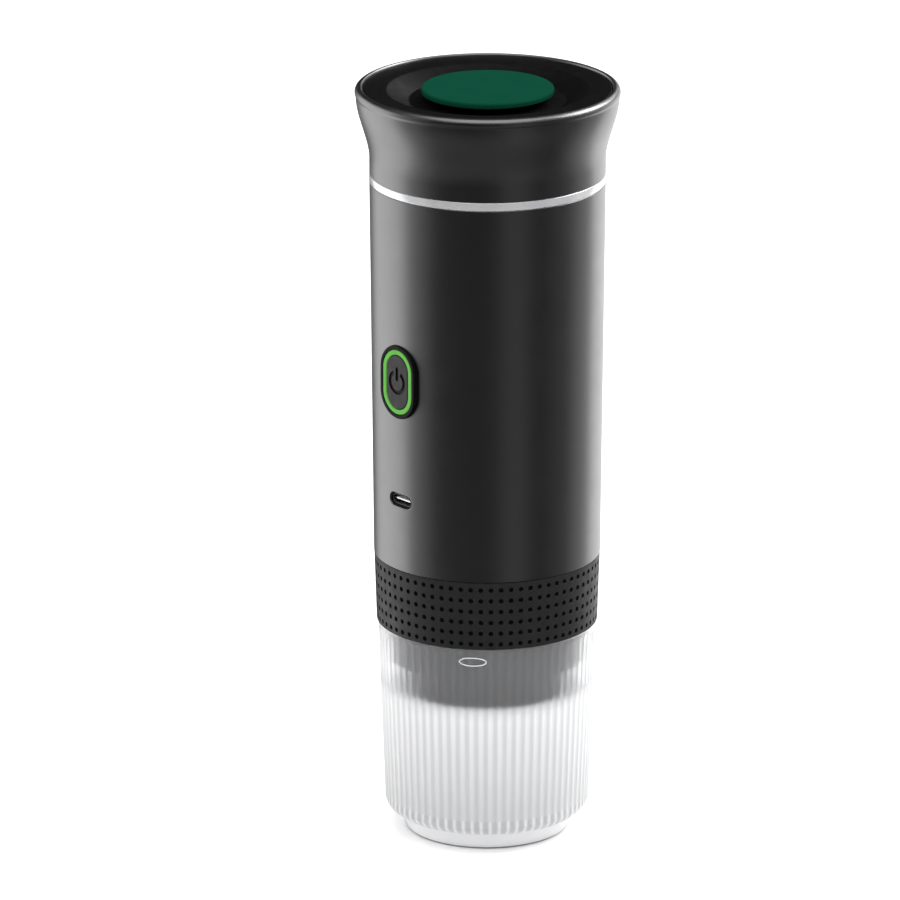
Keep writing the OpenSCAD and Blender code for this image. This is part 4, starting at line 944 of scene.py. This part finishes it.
def symbol_outlines():
    """Outlines (x, z) of the open ring and the bar of the power sign."""
    gap = math.radians(SYMBOL_GAP / 2)
    start = TURN / 4 + gap
    sweep = TURN - 2 * gap
    turns = [start + sweep * k / SYMBOL_STEPS for k in range(SYMBOL_STEPS + 1)]
    inner_r = SYMBOL_R - SYMBOL_LINE
    arc = [(SYMBOL_R * math.cos(t), SYMBOL_R * math.sin(t)) for t in turns]
    arc += [(inner_r * math.cos(t), inner_r * math.sin(t)) for t in reversed(turns)]
    bar_low, bar_high = SYMBOL_BAR
    bar_points = obround(SYMBOL_LINE, bar_high - bar_low, EDGE_STEPS)
    bar = [(x, (bar_low + bar_high) / 2 + dz) for x, dz in bar_points]
    return arc, bar


def power_button():
    """Grey cap with a sunk power sign, and the stem that reaches the switch."""
    low, high = span("power_button")
    width, height, z = front_size("power_button")
    cap_back = low.y + CAP_T
    stem_cut = crossings("power_button", lambda p: p.y, high.y - STEM_PROBE)
    stem = min(math.hypot(point.x, point.z - z) for point in stem_cut)
    form = Form()
    sides = [slot_ring(form, *section, z) for section in inset_sections(width, height, [
        (CAP_INSET, cap_back), (0, cap_back, CAP_BACK_EDGE), (0, low.y, CAP_EDGE), (CAP_INSET, low.y)])]
    form.chain(sides)
    stem_rings = [slot_ring(form, 2 * r, 2 * r, y, z) for r, y in (
        (stem, cap_back), (stem, high.y - STEM_CHAMFER), (stem - STEM_CHAMFER, high.y))]
    form.chain([sides[0]] + stem_rings)
    form.fill([stem_rings[-1]])
    mouths = []
    for outline in symbol_outlines():
        mouth = form.ring([(x, low.y, z + dz) for x, dz in outline])
        floor = form.ring([(x, low.y + SYMBOL_DEPTH, z + dz) for x, dz in outline])
        form.band(mouth, floor, 1)
        form.fill([floor], 1)
        mouths.append(mouth)
    form.fill([sides[-1]] + mouths)
    piece("button_cap", form, [MATERIALS["button_grey"], SYMBOL_BLACK], "button",
          ["power_button"], even=False)


# Charging port

def usb_liner():
    """Black surround of the port with a fine chamfer on both edges."""
    low, high = span("usb_liner")
    width, height, z = front_size("usb_liner")
    socket_w, socket_h, _ = front_size("usb_shell")
    hole_w, hole_h = socket_w + 2 * CUT_PLAY, socket_h + 2 * CUT_PLAY
    bevel = 2 * LINER_CHAMFER
    y_bevel = low.y + LINER_CHAMFER
    form = hoop([
        (width, height, high.y), (width, height, y_bevel), (width - bevel, height - bevel, low.y),
        (hole_w + bevel, hole_h + bevel, low.y), (hole_w, hole_h, y_bevel), (hole_w, hole_h, high.y)], z)
    piece("port_surround", form, [MATERIALS["bezel_black"]], "body", ["usb_liner"])


def usb_shell():
    """Thin metal socket."""
    low, high = span("usb_shell")
    width, height, _ = front_size("usb_shell")
    z = front_size("usb_liner")[2]
    form = hoop(inset_sections(width, height, [
        (0, high.y), (0, low.y, SOCKET_EDGE), (SOCKET_SKIN, low.y, SOCKET_EDGE), (SOCKET_SKIN, high.y)]), z)
    piece("port_socket", form, [SOCKET_DARK], "body", ["usb_shell"])


def usb_tongue():
    """Tongue on its base, with a chamfered tip, near white as a painted highlight."""
    low, high = span("usb_tongue")
    base_w, base_h, _ = front_size("usb_tongue")
    y_base = high.y - TONGUE_BASE_T
    tip_w, tip_t = TONGUE_W - TONGUE_TIP_NARROWING, TONGUE_T - TONGUE_TIP_NARROWING
    z = front_size("usb_liner")[2]
    form = Form()
    rings = [slot_ring(form, w, h, y, z) for w, h, y in (
        (base_w, base_h, high.y), (base_w, base_h, y_base), (TONGUE_W, TONGUE_T, y_base),
        (TONGUE_W, TONGUE_T, low.y + TONGUE_TIP_L), (tip_w, tip_t, low.y))]
    form.chain(rings)
    form.fill([rings[0]])
    form.fill([rings[-1]])
    piece("port_tongue", form, [TONGUE_PAINTED_HIGHLIGHT], "body", ["usb_tongue"])


def usb_contacts():
    """Two rows of brass contacts on the tongue."""
    y_front = span("usb_tongue")[0].y + CONTACT_BACK
    z = front_size("usb_liner")[2]
    form = Form()
    for side in (-1, 1):
        z_pad = z + side * TONGUE_T / 2
        for k in range(CONTACTS):
            x = (k - (CONTACTS - 1) / 2) * CONTACT_PITCH
            corners = [(x + sx * CONTACT_W / 2, z_pad + sz * CONTACT_T)
                       for sx, sz in ((-1, -1), (1, -1), (1, 1), (-1, 1))]
            ends = [form.ring([(cx, y, cz) for cx, cz in corners]) for y in (y_front, y_front + CONTACT_L)]
            form.chain(ends)
            for end in ends:
                form.face(end)
    piece("port_contacts", form, [MATERIALS["standoff_brass"]], "body", even=False)


# Brew head grip

def grip_sleeve():
    """Rubber ring with rows of small round dimples, near black inside as painted shade."""
    low, high = span("grip_sleeve")
    inner = radii_at("grip_sleeve", (low.z + high.z) / 2)[0]
    r_low = radii_at("grip_sleeve", low.z + PROBE)[1]
    r_high = radii_at("grip_sleeve", high.z - PROBE)[1]
    columns = DOT_COLUMNS * DOT_SIDE
    step = TURN / DOT_COLUMNS
    form = Form()

    def wall(z):
        return r_low + (r_high - r_low) * (z - low.z - PROBE) / (high.z - low.z - 2 * PROBE)

    def on_wall(turn, z, sunk):
        r = wall(z) - sunk
        return r * math.sin(turn), -r * math.cos(turn), z

    def dot_field(middle, z_low, z_high, z_dot):
        """One field of the wall with its dimple."""
        left, right = middle - step / 2, middle + step / 2
        shares = [k / DOT_SIDE for k in range(DOT_SIDE)]
        border = [(left + step * share, z_low) for share in shares]
        border += [(right, z_low + (z_high - z_low) * share) for share in shares]
        border += [(right - step * share, z_high) for share in shares]
        border += [(left, z_high - (z_high - z_low) * share) for share in shares]
        ways = [math.atan2(z - z_dot, (turn - middle) * wall(z_dot)) for turn, z in border]
        rings = [form.ring([on_wall(turn, z, 0.0) for turn, z in border])]
        for share, depth in DOT_BOWL:
            r, sunk = DOT_R * share, DOT_DEPTH * depth
            rings.append(form.ring([
                on_wall(middle + r * math.cos(way) / wall(z_dot), z_dot + r * math.sin(way), sunk)
                for way in ways]))
        rings.append(form.ring([on_wall(middle, z_dot, DOT_DEPTH)]))
        form.chain(rings[:3])
        # The inner part of each dimple takes the painted shade
        form.chain(rings[2:], 1)

    def end_rings(z_end, side):
        """Rounded end of the sleeve from the wall to the bore, where side is 1 at the foot."""
        z_edge = z_end + side * SEAM_EDGE
        rings = []
        for bend in quarter(EDGE_STEPS):
            r = wall(z_edge) - SEAM_EDGE * (1 - math.cos(bend))
            rings.append(form.ring(circle(r, z_edge - side * SEAM_EDGE * math.sin(bend), columns)))
        rings.append(form.ring(circle(inner, z_end, columns)))
        return rings

    dots = [low.z + DOT_FIRST + DOT_PITCH * k for k in range(DOT_ROWS)]
    lines = [low.z + SEAM_EDGE] + [(a + b) / 2 for a, b in zip(dots, dots[1:])] + [high.z - SEAM_EDGE]
    for column in range(DOT_COLUMNS):
        for z_low, z_high, z_dot in zip(lines, lines[1:], dots):
            dot_field(step * column, z_low, z_high, z_dot)
    foot = end_rings(low.z, 1)
    top = end_rings(high.z, -1)
    form.chain(foot + top[::-1])
    piece("dotted_grip", form, [MATERIALS["grip_rubber"], DOT_PAINTED_SHADE], "brew_head",
          ["grip_sleeve"], even=False)


# Cup

def cup():
    """Frosted cup with soft flutes, a round shoulder and a set-back foot."""
    low, high = span("cup")
    top_slant, low_slant = FOOT_SLANT
    z_shoulder = FOOT_HEIGHT + SHOULDER_HEIGHT
    z_plain = high.z - FLUTE_TOP
    foot = radii_at("cup", low.z + PROBE)[1]
    r_rim = radii_at("cup", high.z - PROBE)[1]
    r_low = radii_at("cup", z_shoulder + CUP_WALL_PROBE)[1]
    slope = (r_rim - r_low) / (high.z - PROBE - z_shoulder - CUP_WALL_PROBE)
    step = foot + top_slant
    columns = FLUTES * FLUTE_POINTS
    form = Form()

    def line(z):
        """Outer radius of the cup at a height, without its flutes."""
        return r_low + slope * (z - z_shoulder - CUP_WALL_PROBE)

    def fluted(r, z):
        """Ring of the outer wall, with the flutes fading out at the shoulder and below the rim."""
        room = r - line(max(z, z_shoulder)) + FLUTE_DEPTH
        fade = min(max((z_plain + FLUTE_FADE - z) / FLUTE_FADE, 0), 1)
        depth = min(max(room, 0), FLUTE_DEPTH) * fade
        ring = []
        for k in range(columns):
            turn = TURN * k / columns
            sunk = depth * (0.5 + 0.5 * math.cos(TURN * k / FLUTE_POINTS))
            ring.append(((r - sunk) * math.sin(turn), -(r - sunk) * math.cos(turn), z))
        return form.ring(ring)

    shoulder = [(step + (line(z_shoulder) - step) * math.sin(t), z_shoulder - SHOULDER_HEIGHT * math.cos(t))
                for t in quarter(SHOULDER_STEPS)]
    heights = [z_shoulder + (z_plain - z_shoulder) * k / CUP_ROWS for k in range(1, CUP_ROWS + 1)]
    heights += [z_plain + k * RIM_ROW_H for k in range(1, RIM_ROWS + 1)]
    heights.append(high.z - CUP_EDGE)
    outer = [fluted(r, z) for r, z in shoulder + [(line(z), z) for z in heights]]

    foot_in = foot - FOOT_WALL
    base = [(0, CUP_HOLLOW)] + rounded([
        (foot_in, CUP_HOLLOW), (foot_in, low.z), (foot - low_slant, low.z, FOOT_EDGE),
        (step, FOOT_HEIGHT - FOOT_SEAM)])

    inner_low = line(z_shoulder) - CUP_WALL
    well = foot - CUP_WALL
    rim = [(line(high.z) - CUP_EDGE * (1 - math.cos(t)), high.z - CUP_EDGE * (1 - math.sin(t)))
           for t in quarter(EDGE_STEPS, 1)]
    rim.append((line(high.z) - CUP_WALL, high.z))
    bowl = [(well + (inner_low - well) * math.cos(t), z_shoulder - (z_shoulder - CUP_FLOOR) * math.sin(t))
            for t in quarter(BOWL_STEPS)]
    inside = rim + bowl + [(0, CUP_FLOOR)]
    form.chain([form.ring(circle(r, z, columns)) for r, z in base] + outer)
    form.chain([outer[-1]] + [form.ring(circle(r, z, columns)) for r, z in inside], 1)
    piece("ribbed_cup", form, [MATERIALS["cup_frosted"], CUP_INSIDE], "cup", ["cup"],
          even=False)


def cup_mark():
    """Thin raised oval outline near the rim of the cup."""
    width, height = MARK_SIZE
    z_top = span("cup")[1].z
    z_mark = z_top - MARK_DROP
    r_wall = radii_at("cup", z_top - PROBE)[1]
    turns = [TURN * k / MARK_POINTS for k in range(MARK_POINTS)]
    path = [(width / 2 * math.cos(t), height / 2 * math.sin(t)) for t in turns]
    form = Form()
    rings = []
    for i, (x, dz) in enumerate(path):
        along = (Vector(path[(i + 1) % MARK_POINTS]) - Vector(path[i - 1])).normalized()
        across = Vector((along.y, -along.x))
        ring = []
        for k in range(MARK_SIDES):
            turn = TURN * k / MARK_SIDES
            off = MARK_LINE / 2 * math.cos(turn)
            angle = math.radians(MARK_ANGLE) + (x + across.x * off) / r_wall
            r = r_wall + MARK_RISE * math.sin(turn)
            ring.append((r * math.sin(angle), -r * math.cos(angle), z_mark + dz + across.y * off))
        rings.append(form.ring(ring))
    form.tube(rings)
    piece("cup_oval", form, [MARK_WHITE], "cup", even=False)


def dress_solids():
    """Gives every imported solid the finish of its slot."""
    for node in NODES.values():
        for holder in node.material_slots:
            holder.material = MATERIALS[holder.material.name]


# Stage

def direction(azimuth, elevation):
    """Unit vector from the part towards an azimuth and an elevation in degrees."""
    turn = math.radians(azimuth)
    rise = math.radians(elevation)
    return Vector((math.sin(turn) * math.cos(rise), -math.cos(turn) * math.cos(rise), math.sin(rise)))


def place_camera():
    """Camera at the photograph's angle, looking a little past the axis."""
    away = direction(CAMERA_AZIMUTH, CAMERA_ELEVATION)
    right = direction(CAMERA_AZIMUTH + 90, 0)
    aim = (Vector((0, 0, AIM_UP)) - right * AIM_LEFT) * MM
    data = bpy.data.cameras.new("camera")
    data.lens = CAMERA_LENS
    camera = bpy.data.objects.new("camera", data)
    camera.location = aim + away * CAMERA_DISTANCE * MM
    camera.rotation_euler = away.to_track_quat("Z", "Y").to_euler()
    bpy.context.scene.collection.objects.link(camera)
    bpy.context.scene.camera = camera


def softbox(name, angle, distance, width, height, up, brightness, lift):
    """Soft light at an angle to the right of the camera's line, lifted over the part by an angle."""
    away = direction(CAMERA_AZIMUTH + angle, lift)
    data = bpy.data.lights.new(name, "AREA")
    data.shape = "RECTANGLE"
    data.size = width
    data.size_y = height
    data.energy = brightness * math.pi * width * height
    light = bpy.data.objects.new(name, data)
    light.location = Vector((0, 0, up)) + away * distance
    light.rotation_euler = away.to_track_quat("Z", "Y").to_euler()
    light.visible_camera = False
    bpy.context.scene.collection.objects.link(light)


def build_floor():
    """Pale floor that shows in no reflection and casts no shadow."""
    corners = ((-1, -1, 0), (1, -1, 0), (1, 1, 0), (-1, 1, 0))
    mesh = bpy.data.meshes.new("floor")
    mesh.from_pydata([Vector(corner) * FLOOR_REACH * MM for corner in corners], [], [(0, 1, 2, 3)])
    mesh.materials.append(
        finish("floor_look", (250, 250, 250), rough=0.8, mottle=(0.01, 80.0), Specular_IOR_Level=0.0))
    floor = bpy.data.objects.new("floor", mesh)
    bpy.context.scene.collection.objects.link(floor)
    floor.visible_glossy = False
    floor.visible_shadow = False
    floor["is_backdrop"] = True


def build_room():
    """White room that looks dim in reflections, so that only the soft lights gleam."""
    world = bpy.data.worlds.new("studio")
    world.use_nodes = True
    bpy.context.scene.world = world
    nodes, links = world.node_tree.nodes, world.node_tree.links
    white = nodes["Background"]
    dim = nodes.new("ShaderNodeBackground")
    for light, brightness in ((white, ROOM_WHITE), (dim, ROOM_MIRRORED)):
        light.inputs["Color"].default_value = (1, 1, 1, 1)
        light.inputs["Strength"].default_value = brightness
    path = nodes.new("ShaderNodeLightPath")
    mirrored = nodes.new("ShaderNodeMath")
    mirrored.operation = "SUBTRACT"
    mirrored.use_clamp = True
    links.new(path.outputs["Is Glossy Ray"], mirrored.inputs[0])
    links.new(path.outputs["Is Transmission Ray"], mirrored.inputs[1])
    mix = nodes.new("ShaderNodeMixShader")
    links.new(mirrored.outputs[0], mix.inputs[0])
    links.new(white.outputs[0], mix.inputs[1])
    links.new(dim.outputs[0], mix.inputs[2])
    links.new(mix.outputs[0], nodes["World Output"].inputs["Surface"])
    bpy.context.scene.view_settings.view_transform = "Standard"


place_camera()
build_floor()
build_room()
for box, settings in SOFTBOXES.items():
    softbox(box, *settings)
dress_solids()
for build in (main_shell, trim_ring, top_collar, lid_dish, lid_disc, button_bezel, light_ring, power_button,
              usb_liner, usb_shell, usb_tongue, usb_contacts, grip_sleeve, cup, cup_mark):
    build()

boxes = {"cad": CAD_BOX, "visual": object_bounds()}
{key: [list(corner) for corner in box] for key, box in boxes.items()}
